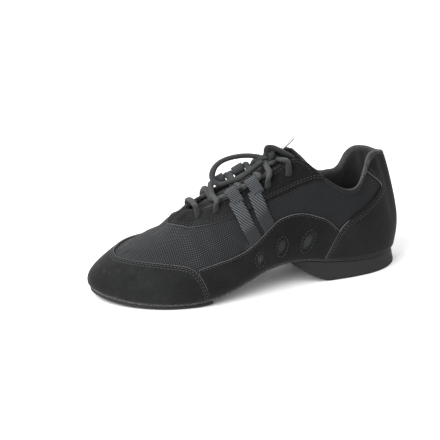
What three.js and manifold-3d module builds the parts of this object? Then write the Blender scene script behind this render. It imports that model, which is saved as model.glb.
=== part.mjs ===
// A low laced dance sneaker, left shoe, millimetres, +Z up.
// Origin on the floor under the centre of the heel. +X runs to the toe, +Y to the outer side.
import * as THREE from "three";
import { mergeVertices } from "three/addons/utils/BufferGeometryUtils.js";
import Module from "manifold-3d";

const wasm = await Module();
wasm.setup();

// Named sizes
const soleLength = 254;        // heel back to toe tip, at the sole's edge
const ballWidth = 90;          // width of the sole at the ball
const instepHeight = 93;       // ridge of the last over the floor, just behind the throat's middle
const heelSeatBack = 32;       // heel back to the origin
const padThickness = 2.4;      // forefoot rubber
const midsoleThickness = 2.5;
const heelLift = 10.2;         // midsole's rise from forefoot to heel
const archLift = 8.6;          // further rise under the arch
const toeSpring = 4.6;         // rise at the toe tip
const insoleThickness = 3.0;
const upperWall = 1.8;
const soleLip = 0.6;           // sole's edge outside the upper's
const seatGap = 0.3;           // between pieces that rest on each other
const overlayGap = 0.45;       // overlays over the upper, straps over the eyestay
const seamGap = 0.45;          // between neighbouring overlays
const overlayThickness = 1.2;
const capThickness = 1.5;
const capRaise = 0.15;         // the stiffer cap stands a little off the upper
const collarPadding = 4.0;
const collarDepth = 30;        // how far the padding reaches down
const tongueThickness = 2.8;
const tongueGap = 0.8;         // under the throat's edges
const tongueSag = 8.0;         // its middle, under the closed form
const strapWidth = 12.5;
const strapThickness = 1.2;
const loopBore = 5.2;          // hollow of the strap's loop
const loopLength = 9.5;
const heelContact = 66;        // flat of the heel, from its back
const breastReach = 32;        // the breast slopes from there up to the arch
const heelFlare = 1.6;         // heel's foot outside its top
const padLength = 85;          // forefoot rubber, from the toe tip
const laceWidth = 4.6;         // diameter of the lace
const knotSize = 13;
const laceRise = 1.9;          // higher where it bends over the throat's edge
const laceGap = 0.7;           // strands over the eyestay
const laceEdge = 0.9;          // a strand bends this far from the throat's edge
const laceStop = 7.9;          // and one that slips under the edge stops so far short of it
const laceTuck = 2.4;          // a strand under the throat's edge lies this much lower than on it
const deepTuck = 6.6;          // the last strand, under the bow
const agletLength = 12;
const agletWidth = 2.8;

// The last
// at: share of the length; outer, inner: half widths as shares of the ball width
const outlineRows = [
  { at: 0.012, outer: 0.120, inner: 0.120 },
  { at: 0.045, outer: 0.225, inner: 0.220 },
  { at: 0.100, outer: 0.300, inner: 0.295 },
  { at: 0.180, outer: 0.335, inner: 0.325 },
  { at: 0.300, outer: 0.340, inner: 0.300 },
  { at: 0.420, outer: 0.365, inner: 0.290 },
  { at: 0.540, outer: 0.435, inner: 0.345 },
  { at: 0.640, outer: 0.490, inner: 0.430 },
  { at: 0.730, outer: 0.495, inner: 0.475 },
  { at: 0.810, outer: 0.455, inner: 0.465 },
  { at: 0.880, outer: 0.375, inner: 0.400 },
  { at: 0.940, outer: 0.265, inner: 0.300 },
  { at: 0.983, outer: 0.130, inner: 0.185 }
];
const tipSide = -0.035;

// ridge: height of the closed form as a share of the instep height; full: roundness of the section;
// bellyOuter, bellyInner: swell over the sole as shares of the ball width; ridgeSide: sideways place of the
// ridge; heel, arch, toe: shares of heelLift, archLift and toeSpring
const sectionRows = [
  { at: 0.00, ridge: 1.086, full: 2.30, bellyOuter: 0.024, bellyInner: 0.024,
    ridgeSide: 0.000, heel: 0.98, arch: 0.00, toe: 0 },
  { at: 0.12, ridge: 1.312, full: 2.30, bellyOuter: 0.028, bellyInner: 0.028,
    ridgeSide: 0.000, heel: 1.00, arch: 0.06, toe: 0 },
  { at: 0.25, ridge: 1.312, full: 2.10, bellyOuter: 0.033, bellyInner: 0.039,
    ridgeSide: 0.000, heel: 1.00, arch: 0.38, toe: 0 },
  { at: 0.36, ridge: 1.194, full: 1.85, bellyOuter: 0.039, bellyInner: 0.050,
    ridgeSide: -0.020, heel: 0.90, arch: 1.00, toe: 0 },
  { at: 0.47, ridge: 1.000, full: 1.80, bellyOuter: 0.044, bellyInner: 0.056,
    ridgeSide: -0.035, heel: 0.58, arch: 1.16, toe: 0 },
  { at: 0.58, ridge: 0.828, full: 1.85, bellyOuter: 0.050, bellyInner: 0.050,
    ridgeSide: -0.050, heel: 0.20, arch: 0.55, toe: 0 },
  { at: 0.68, ridge: 0.672, full: 1.90, bellyOuter: 0.044, bellyInner: 0.044,
    ridgeSide: -0.060, heel: 0.04, arch: 0.08, toe: 0 },
  { at: 0.79, ridge: 0.495, full: 2.00, bellyOuter: 0.033, bellyInner: 0.033,
    ridgeSide: -0.050, heel: 0.00, arch: 0.00, toe: 0 },
  { at: 0.90, ridge: 0.398, full: 2.30, bellyOuter: 0.022, bellyInner: 0.022,
    ridgeSide: -0.040, heel: 0.00, arch: 0.00, toe: 0.30 },
  { at: 1.00, ridge: 0.290, full: 2.40, bellyOuter: 0.009, bellyInner: 0.009,
    ridgeSide: -0.035, heel: 0.00, arch: 0.00, toe: 1 }
];
// ribs fan out round the heel and the toe and cross the foot between them
const fan = { heelAt: 0.125, toeAt: 0.80, heelPart: 0.17, toePart: 0.755, bellyLow: 6 };

// rim of the upper: way round the shoe from heel to toe, and height up the section (1 = ridge)
const rimRows = [
  { way: 0.000, up: 0.596 }, { way: 0.050, up: 0.597 }, { way: 0.090, up: 0.592 }, { way: 0.130, up: 0.570 },
  { way: 0.155, up: 0.535 }, { way: 0.170, up: 0.488 }, { way: 0.180, up: 0.425 }, { way: 0.190, up: 0.372 },
  { way: 0.205, up: 0.337 }, { way: 0.225, up: 0.330 }, { way: 0.250, up: 0.352 }, { way: 0.275, up: 0.397 },
  { way: 0.300, up: 0.455 }, { way: 0.323, up: 0.535 }, { way: 0.338, up: 0.597 }, { way: 0.352, up: 0.650 },
  { way: 0.367, up: 0.688 }, { way: 0.383, up: 0.706 }, { way: 0.405, up: 0.712 }, { way: 0.450, up: 0.716 },
  { way: 0.500, up: 0.732 }, { way: 0.550, up: 0.756 }, { way: 0.593, up: 0.786 }, { way: 0.620, up: 0.828 },
  { way: 0.638, up: 0.888 }, { way: 0.648, up: 0.944 }, { way: 0.655, up: 1.000 }
];
const throatFront = 0.655;
// the collar is lower on the inner side: by how much, round from the heel
const innerDropRows = [
  { way: 0.000, drop: 0.000 }, { way: 0.025, drop: 0.022 }, { way: 0.060, drop: 0.048 },
  { way: 0.110, drop: 0.066 }, { way: 0.155, drop: 0.078 }, { way: 0.185, drop: 0.056 },
  { way: 0.215, drop: 0.026 }, { way: 0.250, drop: 0.030 }, { way: 0.280, drop: 0.018 },
  { way: 0.300, drop: 0.000 }
];

function table(rows, key, column, at) {
  const last = rows.length - 1;
  const x = Math.min(Math.max(at, rows[0][key]), rows[last][key]);
  let i = 0;
  while (i < last - 1 && rows[i + 1][key] < x) i++;
  const slope = (k) => {
    const a = rows[Math.max(k - 1, 0)];
    const b = rows[Math.min(k + 1, last)];
    return (b[column] - a[column]) / (b[key] - a[key]);
  };
  const a = rows[i];
  const b = rows[i + 1];
  const h = b[key] - a[key];
  const t = (x - a[key]) / h;
  const t2 = t * t;
  const t3 = t2 * t;
  return a[column] * (2 * t3 - 3 * t2 + 1) + slope(i) * h * (t3 - 2 * t2 + t)
    + b[column] * (3 * t2 - 2 * t3) + slope(i + 1) * h * (t3 - t2);
}
const section = (column, x) => table(sectionRows, "at", column, x / soleLength);
const innerDrop = (side, way) => (side > 0 || way > 0.3 ? 0 : table(innerDropRows, "way", "drop", way));
const rimUp = (way, side = 1) => (way >= throatFront ? 1
  : Math.min(table(rimRows, "way", "up", way), 0.9985) - innerDrop(side, way));

// closed curve of the sole's edge, heel back first, outer side, tip, inner side
const edgeCurve = (() => {
  const points = [new THREE.Vector3(0, 0, 0)];
  for (const row of outlineRows) {
    points.push(new THREE.Vector3(row.at * soleLength, row.outer * ballWidth, 0));
  }
  points.push(new THREE.Vector3(soleLength, tipSide * ballWidth, 0));
  for (const row of [...outlineRows].reverse()) {
    points.push(new THREE.Vector3(row.at * soleLength, -row.inner * ballWidth, 0));
  }
  return new THREE.CatmullRomCurve3(points, true, "centripetal").getPoints(points.length * 24);
})();

const ridgeSideAt = (x) => section("ridgeSide", x) * ballWidth;

// foot of one rib: its start on the ridge line, its direction outward and its length to the sole's edge
function ribAt(side, way) {
  const xHeel = fan.heelAt * soleLength;
  const xToe = fan.toeAt * soleLength;
  let start;
  let out;
  if (way < fan.heelPart) {
    const turn = (way / fan.heelPart) * Math.PI / 2;
    start = [xHeel, ridgeSideAt(xHeel)];
    out = [-Math.cos(turn), side * Math.sin(turn)];
  } else if (way > fan.toePart) {
    const turn = ((1 - way) / (1 - fan.toePart)) * Math.PI / 2;
    start = [xToe, ridgeSideAt(xToe)];
    out = [Math.cos(turn), side * Math.sin(turn)];
  } else {
    const x = xHeel + (xToe - xHeel) * (way - fan.heelPart) / (fan.toePart - fan.heelPart);
    start = [x, ridgeSideAt(x)];
    out = [0, side];
  }
  for (let k = 0; k + 1 < edgeCurve.length; k++) {
    const ax = edgeCurve[k].x - start[0];
    const ay = edgeCurve[k].y - start[1];
    const bx = edgeCurve[k + 1].x - start[0];
    const by = edgeCurve[k + 1].y - start[1];
    const ca = ax * out[1] - ay * out[0];
    const cb = bx * out[1] - by * out[0];
    const along = ax * out[0] + ay * out[1];
    if (along > 0 && ca * cb <= 0 && ca !== cb) {
      const f = ca / (ca - cb);
      return { start, out, reach: along + f * (bx * out[0] + by * out[1] - along) };
    }
  }
  return { start, out, reach: 0 };
}

const spring = (x) => Math.max(section("toe", x), 0) * toeSpring;
const underside = (x) => padThickness + seatGap + section("heel", x) * heelLift
  + section("arch", x) * archLift + spring(x);
const featherEdge = (x) => underside(x) + midsoleThickness + seatGap;

const bellyTop = (1 / (fan.bellyLow + 1)) * Math.pow(fan.bellyLow / (fan.bellyLow + 1), fan.bellyLow);

// a point of the last's form: side +1 outer or -1 inner, way round, height up the section, offset outward
function lastPoint(side, way, up, offset) {
  const { start, out, reach } = ribAt(side, way);
  const xEdge = start[0] + out[0] * reach;
  const power = 2 / section("full", xEdge);
  const zEdge = featherEdge(xEdge);
  const outer = section("bellyOuter", xEdge) * ballWidth;
  const inner = section("bellyInner", xEdge) * ballWidth;
  const mean = (outer + inner) / 2;
  const belly = mean + ((side > 0 ? outer : inner) - mean) * Math.abs(out[1]);
  const profile = (v) => {
    const u = Math.min(Math.max(v, 0), 1);
    const c = Math.pow(Math.max(Math.cos(u * Math.PI / 2), 0), power);
    const s = Math.pow(Math.max(Math.sin(u * Math.PI / 2), 0), power);
    const r = reach * c + belly * u * Math.pow(1 - u, fan.bellyLow) / bellyTop;
    const ridge = section("ridge", start[0] + out[0] * r) * instepHeight;
    return [r, zEdge + (ridge - zEdge) * s];
  };
  let [r, z] = profile(up);
  if (offset !== 0) {
    let normal = [0, 1];
    if (up < 0.9995) {
      const a = profile(up - 0.004);
      const b = profile(up + 0.004);
      const length = Math.hypot(b[0] - a[0], b[1] - a[1]);
      normal = [(b[1] - a[1]) / length, (a[0] - b[0]) / length];
    }
    r += offset * normal[0];
    z += offset * normal[1];
  }
  return [start[0] + out[0] * r - heelSeatBack, start[1] + out[1] * r, z];
}

// a point over the sole's plan: share of the way out, plus a margin outside the edge, at a height rule of x
function planPoint(side, way, share, margin, height) {
  const { start, out, reach } = ribAt(side, way);
  const r = Math.max(reach + margin, 0) * share;
  const x = start[0] + out[0] * r;
  return [x - heelSeatBack, start[1] + out[1] * r, height(x)];
}

// Closed skins
class Skin {
  constructor() {
    this.points = [];
    this.index = new Map();
    this.faces = [];
  }
  corner(p) {
    const key = p.map((c) => Math.round(c * 2000)).join(" ");
    if (!this.index.has(key)) {
      this.index.set(key, this.points.length);
      this.points.push(p);
    }
    return this.index.get(key);
  }
  tri(a, b, c) {
    const [i, j, k] = [this.corner(a), this.corner(b), this.corner(c)];
    if (i !== j && j !== k && k !== i) this.faces.push(i, j, k);
  }
  quad(a, b, c, d) {
    this.tri(a, b, c);
    this.tri(a, c, d);
  }
  geometry() {
    let volume = 0;
    const p = this.points;
    for (let f = 0; f < this.faces.length; f += 3) {
      const [a, b, c] = [p[this.faces[f]], p[this.faces[f + 1]], p[this.faces[f + 2]]];
      volume += a[0] * (b[1] * c[2] - b[2] * c[1]) + a[1] * (b[2] * c[0] - b[0] * c[2])
        + a[2] * (b[0] * c[1] - b[1] * c[0]);
    }
    const faces = volume < 0 ? [...this.faces].reverse() : this.faces;
    const geometry = new THREE.BufferGeometry();
    geometry.setAttribute("position", new THREE.Float32BufferAttribute(p.flat(), 3));
    geometry.setIndex(faces);
    geometry.computeVertexNormals();
    return geometry;
  }
}

// a wall between two grids of points [column][row]; open ends and open rims get strips
function wallBetween(outer, inner, { loop = false, topOpen = () => true } = {}) {
  const skin = new Skin();
  const columns = outer.length;
  const spans = loop ? columns : columns - 1;
  for (let i = 0; i < spans; i++) {
    const n = (i + 1) % columns;
    const [a, b, c, d] = [outer[i], outer[n], inner[i], inner[n]];
    for (let j = 0; j + 1 < a.length; j++) skin.quad(a[j], b[j], b[j + 1], a[j + 1]);
    for (let j = 0; j + 1 < c.length; j++) skin.quad(c[j], c[j + 1], d[j + 1], d[j]);
    skin.quad(b[0], a[0], c[0], d[0]);
    if (topOpen(i, n)) skin.quad(a[a.length - 1], b[b.length - 1], d[d.length - 1], c[c.length - 1]);
  }
  if (!loop) {
    const last = columns - 1;
    for (const [a, c, turn] of [[outer[0], inner[0], false], [outer[last], inner[last], true]]) {
      for (let j = 0; j + 1 < a.length; j++) {
        if (turn) skin.quad(a[j], c[j], c[j + 1], a[j + 1]);
        else skin.quad(c[j], a[j], a[j + 1], c[j + 1]);
      }
    }
  }
  return skin;
}

// a closed section carried along columns: ring[column][corner]
function ringSweep(rings) {
  const skin = new Skin();
  for (let i = 0; i + 1 < rings.length; i++) {
    const [a, b] = [rings[i], rings[i + 1]];
    for (let j = 0; j < a.length; j++) {
      const k = (j + 1) % a.length;
      skin.quad(a[j], b[j], b[k], a[k]);
    }
  }
  for (const [ring, turn] of [[rings[0], false], [rings[rings.length - 1], true]]) {
    for (let j = 1; j + 1 < ring.length; j++) {
      if (turn) skin.tri(ring[0], ring[j + 1], ring[j]);
      else skin.tri(ring[0], ring[j], ring[j + 1]);
    }
  }
  return skin;
}

const share = (count) => Array.from({ length: count + 1 }, (_, i) => i / count);

// stations round the shoe: every row of the rim's table, and steps in front of it
const stationStep = 0.026;
function stations(from, to, gap, rim = true) {
  const marks = [0, ...(rim ? rimRows.map((r) => r.way) : []), fan.heelPart, fan.toePart, 1, from, to]
    .filter((w) => w >= from - 1e-9 && w <= to + 1e-9).sort((a, b) => a - b);
  const ways = [marks[0]];
  for (const mark of marks) {
    const before = ways[ways.length - 1];
    if (mark - before < 0.004) {
      if (mark === to) ways[ways.length - 1] = to;
      continue;
    }
    const parts = Math.ceil((mark - before) / gap - 0.05);
    for (let k = 1; k <= parts; k++) ways.push(before + (mark - before) * k / parts);
  }
  return ways;
}

// both sides in one row of columns, outer side first, meeting at the toe or at the heel back
function around(ways, meetAt) {
  const ordered = meetAt === "toe" ? ways : [...ways].reverse();
  const back = [...ordered].reverse().slice(1);
  return [...ordered.map((way) => [1, way]), ...back.map((way) => [-1, way])];
}

// Solids joined and cut
function solidOf(geometry) {
  const bare = new THREE.BufferGeometry();
  bare.setAttribute("position", geometry.getAttribute("position"));
  if (geometry.index) bare.setIndex(geometry.index);
  const merged = mergeVertices(bare, 1e-4);
  return new wasm.Manifold(new wasm.Mesh({
    numProp: 3,
    vertProperties: new Float32Array(merged.getAttribute("position").array),
    triVerts: new Uint32Array(merged.index.array)
  }));
}
function formOf(solid) {
  const mesh = solid.getMesh();
  const geometry = new THREE.BufferGeometry();
  geometry.setAttribute("position", new THREE.BufferAttribute(new Float32Array(mesh.vertProperties), 3));
  geometry.setIndex(new THREE.BufferAttribute(new Uint32Array(mesh.triVerts), 1));
  geometry.computeVertexNormals();
  return geometry;
}

// Sole
const soleWays = stations(0, 1, stationStep, false);

// slab between two height rules, with margins outside the sole's edge at its foot and top
function soleSlab(ways, topHeight, footHeight, topMargin, footMargin) {
  const skin = new Skin();
  const first = ways[0];
  const last = ways[ways.length - 1];
  for (const side of [1, -1]) {
    for (let i = 0; i + 1 < ways.length; i++) {
      const [a, b] = [ways[i], ways[i + 1]];
      const mid = (way, height) => planPoint(side, way, 0, 0, height);
      const rim = (way, margin, height) => planPoint(side, way, 1, margin, height);
      const corners = [
        [mid(a, topHeight), rim(a, topMargin, topHeight), rim(b, topMargin, topHeight), mid(b, topHeight)],
        [mid(b, footHeight), rim(b, footMargin, footHeight), rim(a, footMargin, footHeight),
          mid(a, footHeight)],
        [rim(a, topMargin, topHeight), rim(a, footMargin, footHeight), rim(b, footMargin, footHeight),
          rim(b, topMargin, topHeight)]
      ];
      for (const c of corners) {
        if (side > 0) skin.quad(...c);
        else skin.quad(...[...c].reverse());
      }
    }
    for (const [way, turn] of [[first, side > 0], [last, side < 0]]) {
      if (way === 0 || way === 1) continue;
      const c = [planPoint(side, way, 0, 0, topHeight), planPoint(side, way, 0, 0, footHeight),
        planPoint(side, way, 1, footMargin, footHeight), planPoint(side, way, 1, topMargin, topHeight)];
      if (turn) skin.quad(...c);
      else skin.quad(...[...c].reverse());
    }
  }
  return skin;
}

const wayAtX = (x) => fan.heelPart
  + (x / soleLength - fan.heelAt) / (fan.toeAt - fan.heelAt) * (fan.toePart - fan.heelPart);
const barWay = wayAtX(soleLength - padLength);
const breastWay = wayAtX(heelContact + breastReach);
const contactWay = wayAtX(heelContact);

const breastFoot = (x) => {
  const slope = Math.min(Math.max((x - heelContact) / breastReach, 0), 1);
  const rise = underside(heelContact + breastReach) - seatGap - 1;
  return rise * (0.55 * slope + 0.45 * slope * slope);
};

const padWays = stations(barWay, 1, stationStep, false);
const heelWays = [...stations(0, contactWay, stationStep, false),
  ...[0.25, 0.5, 0.75, 1].map((k) => contactWay + (breastWay - contactWay) * k)];

const outsoleForefoot = soleSlab(padWays, (x) => underside(x) - seatGap, spring,
  soleLip * 0.5, soleLip * 0.2);
const heelBlock = soleSlab(heelWays, (x) => underside(x) - seatGap, breastFoot, -0.3, heelFlare);
const midsole = soleSlab(soleWays, (x) => underside(x) + midsoleThickness, underside, soleLip, soleLip * 0.5);
const insoleInset = upperWall + 0.8;
const insole = soleSlab(soleWays, (x) => featherEdge(x) + insoleThickness, featherEdge,
  -insoleInset, -insoleInset);

// Upper
const upperWays = stations(0, 1, stationStep);
const outerShares = [0, 0.05, 0.12, 0.21, 0.32, 0.44, 0.56, 0.68, 0.79, 0.9, 1];
const innerShares = [0, 0.11, 0.27, 0.46, 0.64, 0.82, 1];
const upperColumns = around(upperWays, "toe").slice(0, -1);
const upperOuter = upperColumns.map(([side, way]) => outerShares.map((s) =>
  lastPoint(side, way, s * rimUp(way, side), 0)));
const upperInner = upperColumns.map(([side, way]) => {
  const column = innerShares.map((s) => lastPoint(side, way, s * rimUp(way, side), -upperWall));
  const foot = column[0];
  return [[foot[0], foot[1], featherEdge(foot[0] + heelSeatBack)], ...column];
});
const upper = wallBetween(upperOuter, upperInner, {
  loop: true,
  topOpen: (i, n) => rimUp(upperColumns[i][1]) < 1 || rimUp(upperColumns[n][1]) < 1
});

// Tongue
// way: from its top to its toe end; up: its side edge on the section; from: where on the section it starts to
// sag; sag: how far its middle lies under the closed form, as a share of tongueSag
const tongueRows = [
  { way: 0.376, up: 0.920, from: 0.580, sag: 1.35 }, { way: 0.384, up: 0.800, from: 0.580, sag: 1.36 },
  { way: 0.400, up: 0.735, from: 0.640, sag: 1.36 }, { way: 0.430, up: 0.700, from: 0.690, sag: 1.33 },
  { way: 0.470, up: 0.685, from: 0.685, sag: 1.24 }, { way: 0.520, up: 0.690, from: 0.690, sag: 1.10 },
  { way: 0.570, up: 0.710, from: 0.710, sag: 0.95 }, { way: 0.620, up: 0.740, from: 0.740, sag: 0.70 },
  { way: 0.655, up: 0.770, from: 0.770, sag: 0.45 }, { way: 0.690, up: 0.820, from: 0.820, sag: 0.20 }
];
const tongueLift = upperWall + tongueGap;
const tongueStep = 0.045;       // rows farther apart than this get a column between them
const tongueColumns = tongueRows.flatMap((row, i) => {
  const before = tongueRows[Math.max(i - 1, 0)].way;
  return row.way - before > tongueStep ? [(row.way + before) / 2, row.way] : [row.way];
});
const tongueTop = (way, up) => {
  const from = table(tongueRows, "way", "from", way);
  const middle = Math.min(Math.max((up - from) / (1 - from), 0) * 1.5, 1);
  return tongueLift + tongueSag * table(tongueRows, "way", "sag", way) * middle * middle * (3 - 2 * middle);
};
function tongueFace(depth) {
  return tongueColumns.map((way) => {
    const side = table(tongueRows, "way", "up", way);
    const half = [0, 0.25, 0.5, 0.75, 1].map((s) => side + (1 - side) * s);
    const place = (face, up) => lastPoint(face, way, up, -tongueTop(way, up) - depth);
    return [...half.map((up) => place(1, up)), ...half.slice(0, -1).reverse().map((up) => place(-1, up))];
  });
}
const tongue = wallBetween(tongueFace(0), tongueFace(tongueThickness));

// Padded collar
const collarFront = 0.345;
const liningOut = upperWall + seatGap;
const liningWays = stations(0, collarFront, 0.026);
const liningRings = around(liningWays, "heel").map(([side, way]) => {
  const rim = rimUp(way, side);
  const low = Math.max(rim - collarDepth / instepHeight, 0.08);
  const thin = Math.min(1, (collarFront - way) / 0.05 + 0.3);
  const pad = collarPadding * thin;
  const section = [
    [low, 0], [(low + rim) / 2, 0], [rim, 0], [rim + 0.010, 0.25], [rim + 0.010, 0.7],
    [rim - 0.015, 1], [rim - 0.5 * (rim - low), 0.95], [low, 0.3]
  ];
  return section.map(([up, depth]) => lastPoint(side, way, up, -liningOut - depth * pad));
});
const collarLining = ringSweep(liningRings);

// Overlays
// each edge: way round and height up the section
const capEdge = [
  { way: 0.650, up: 0.000 }, { way: 0.657, up: 0.090 }, { way: 0.665, up: 0.180 }, { way: 0.675, up: 0.258 },
  { way: 0.692, up: 0.342 }, { way: 0.722, up: 0.418 }, { way: 0.770, up: 0.500 }, { way: 0.845, up: 0.562 },
  { way: 0.920, up: 0.612 }, { way: 1.000, up: 0.640 }
];
const mudEdge = [
  { way: 0.258, up: 0.152 }, { way: 0.278, up: 0.186 }, { way: 0.300, up: 0.215 }, { way: 0.330, up: 0.254 },
  { way: 0.358, up: 0.290 }, { way: 0.385, up: 0.314 }, { way: 0.412, up: 0.328 }, { way: 0.436, up: 0.333 },
  { way: 0.460, up: 0.316 }, { way: 0.484, up: 0.295 }, { way: 0.510, up: 0.276 }, { way: 0.540, up: 0.269 },
  { way: 0.580, up: 0.279 }, { way: 0.620, up: 0.298 }, { way: 0.655, up: 0.309 }, { way: 0.684, up: 0.318 }
];
const counterEdge = [
  { way: 0.302, up: 0.000 }, { way: 0.289, up: 0.055 }, { way: 0.276, up: 0.102 }, { way: 0.262, up: 0.142 },
  { way: 0.240, up: 0.176 }, { way: 0.205, up: 0.200 }, { way: 0.170, up: 0.238 }, { way: 0.142, up: 0.280 },
  { way: 0.121, up: 0.325 }, { way: 0.119, up: 0.358 }, { way: 0.140, up: 0.388 }, { way: 0.158, up: 0.408 },
  { way: 0.176, up: 0.432 }
];
// lower edge of the eyestay from the collar to the middle of the vamp
const stayEdge = [
  { way: 0.300, up: 0.440 }, { way: 0.325, up: 0.466 }, { way: 0.367, up: 0.480 }, { way: 0.410, up: 0.490 },
  { way: 0.453, up: 0.513 }, { way: 0.495, up: 0.534 }, { way: 0.542, up: 0.550 }, { way: 0.580, up: 0.588 },
  { way: 0.618, up: 0.634 }, { way: 0.650, up: 0.693 }, { way: 0.677, up: 0.775 }, { way: 0.697, up: 0.870 },
  { way: 0.708, up: 0.960 }, { way: 0.710, up: 1.000 }
];
const wayStretch = 2.6;        // a share of the way round is this many shares of the section's height
function trail(rows) {
  const curve = new THREE.SplineCurve(rows.map((r) => new THREE.Vector2(r.way * wayStretch, r.up)));
  return (u) => {
    const p = curve.getPointAt(u);
    return [p.x / wayStretch, p.y];
  };
}
const lineFrom = (a, b) => (u) => [a[0] + (b[0] - a[0]) * u, a[1] + (b[1] - a[1]) * u];
// a patch of the surface between four edges that meet at its corners
function patch(low, high, start, end, acrossCount, rows) {
  return share(acrossCount).map((u) => rows.map((w) => [0, 1].map((k) => (1 - w) * low(u)[k] + w * high(u)[k]
    + (1 - u) * start(w)[k] + u * end(w)[k] - (1 - u) * (1 - w) * low(0)[k] - u * (1 - w) * low(1)[k]
    - (1 - u) * w * high(0)[k] - u * w * high(1)[k])));
}
const overSide = (grid, side) => grid.map((column) => column.map(([way, up]) => [side, way, up]));
function shell(grid, low, high) {
  const lay = (offset) => grid.map((column) => column.map(([side, way, up]) => {
    const p = lastPoint(side, way, up, offset);
    return [p[0], p[1], Math.max(p[2], featherEdge(p[0] + heelSeatBack))];
  }));
  return wallBetween(lay(high), lay(low));
}
const overlayLow = overlayGap;
const seamWay = seamGap / (soleLength * 1.15);
const seamUp = seamGap / instepHeight;

// toe cap, from one side round the tip to the other
const lowRows = [0, 0.16, 0.34, 0.54, 0.77, 1];
const capHigh = trail(capEdge);
const capSide = patch(lineFrom([capEdge[0].way, 0], [1, 0]), capHigh, () => [capEdge[0].way, 0],
  lineFrom([1, 0], [1, capEdge[capEdge.length - 1].up]), 16, lowRows);
const toeCap = shell([...overSide(capSide, 1), ...overSide(capSide, -1).reverse().slice(1)],
  overlayLow + capRaise, overlayLow + capRaise + capThickness);

// heel counter, from one side round the back to the other; its tab follows the collar on each side
const tabWay = counterEdge[counterEdge.length - 1].way;
const tabStart = 0.28;         // above this height the front edge follows the collar
const tabEdge = (side) => counterEdge.map(({ way, up }) => {
  const follow = Math.max((up - tabStart) / (counterEdge[counterEdge.length - 1].up - tabStart), 0);
  return { way, up: up - innerDrop(side, way) * follow };
});
function counterSide(side) {
  const edge = tabEdge(side);
  const rim = (way) => rimUp(way, side) - seamUp;
  const top = (u) => [tabWay * (1 - u), rim(tabWay * (1 - u))
    + (edge[edge.length - 1].up - rim(tabWay)) * Math.pow(1 - u, 6)];
  const foot = lineFrom([edge[0].way, 0], [0, 0]);
  const back = lineFrom([0, 0], [0, rim(0)]);
  return overSide(patch(foot, top, trail(edge), back, 16, [0, 0.1, 0.23, 0.38, 0.54, 0.7, 0.86, 1]), side);
}
const heelCounter = shell([...counterSide(1), ...counterSide(-1).reverse().slice(1)],
  overlayLow, overlayLow + overlayThickness);

// mudguards between counter and cap, one on each side
const capPart = capEdge.filter((row) => row.up < 0.33).map((row) => ({ way: row.way - seamWay, up: row.up }));
const counterPart = counterEdge.filter((row) => row.up < 0.15)
  .map((row) => ({ way: row.way + seamWay, up: row.up }));
const mudCorner = { way: 0.6755 - seamWay, up: 0.312 };
const mudMiddle = mudEdge.filter((row) => row.way > 0.27 && row.way < 0.67);
const mudHigh = trail([counterPart[counterPart.length - 1], ...mudMiddle, mudCorner]);
const mudFront = trail([...capPart.filter((row) => row.up < 0.26), mudCorner]);
const mudSide = patch(lineFrom([counterEdge[0].way + seamWay, 0], [capEdge[0].way - seamWay, 0]), mudHigh,
  trail(counterPart), mudFront, 16, [0, 0.16, 0.34, 0.54, 0.76, 1]);
const mudguard = (side) => shell(overSide(mudSide, side), overlayLow, overlayLow + overlayThickness);

// eyestay, one piece round the throat's front
const rimTrail = trail([...rimRows.filter((row) => row.way > 0.305), { way: throatFront, up: 1 }]
  .map((row) => ({ way: row.way, up: Math.min(row.up, 1) })));
const stayRows = [0, 0.34, 0.68, 1];
const staySide = share(21).map((u) => stayRows.map((w) => {
  const outer = trail(stayEdge)(u);
  const edge = rimTrail(u);
  const inner = [edge[0] + seamWay * 2 * u, Math.min(edge[1] - seamUp * (1 - u), 1)];
  return [0, 1].map((k) => outer[k] + (inner[k] - outer[k]) * w);
}));
const eyestay = shell([...overSide(staySide, 1), ...overSide(staySide, -1).reverse().slice(1)],
  overlayLow, overlayLow + overlayThickness);

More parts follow.
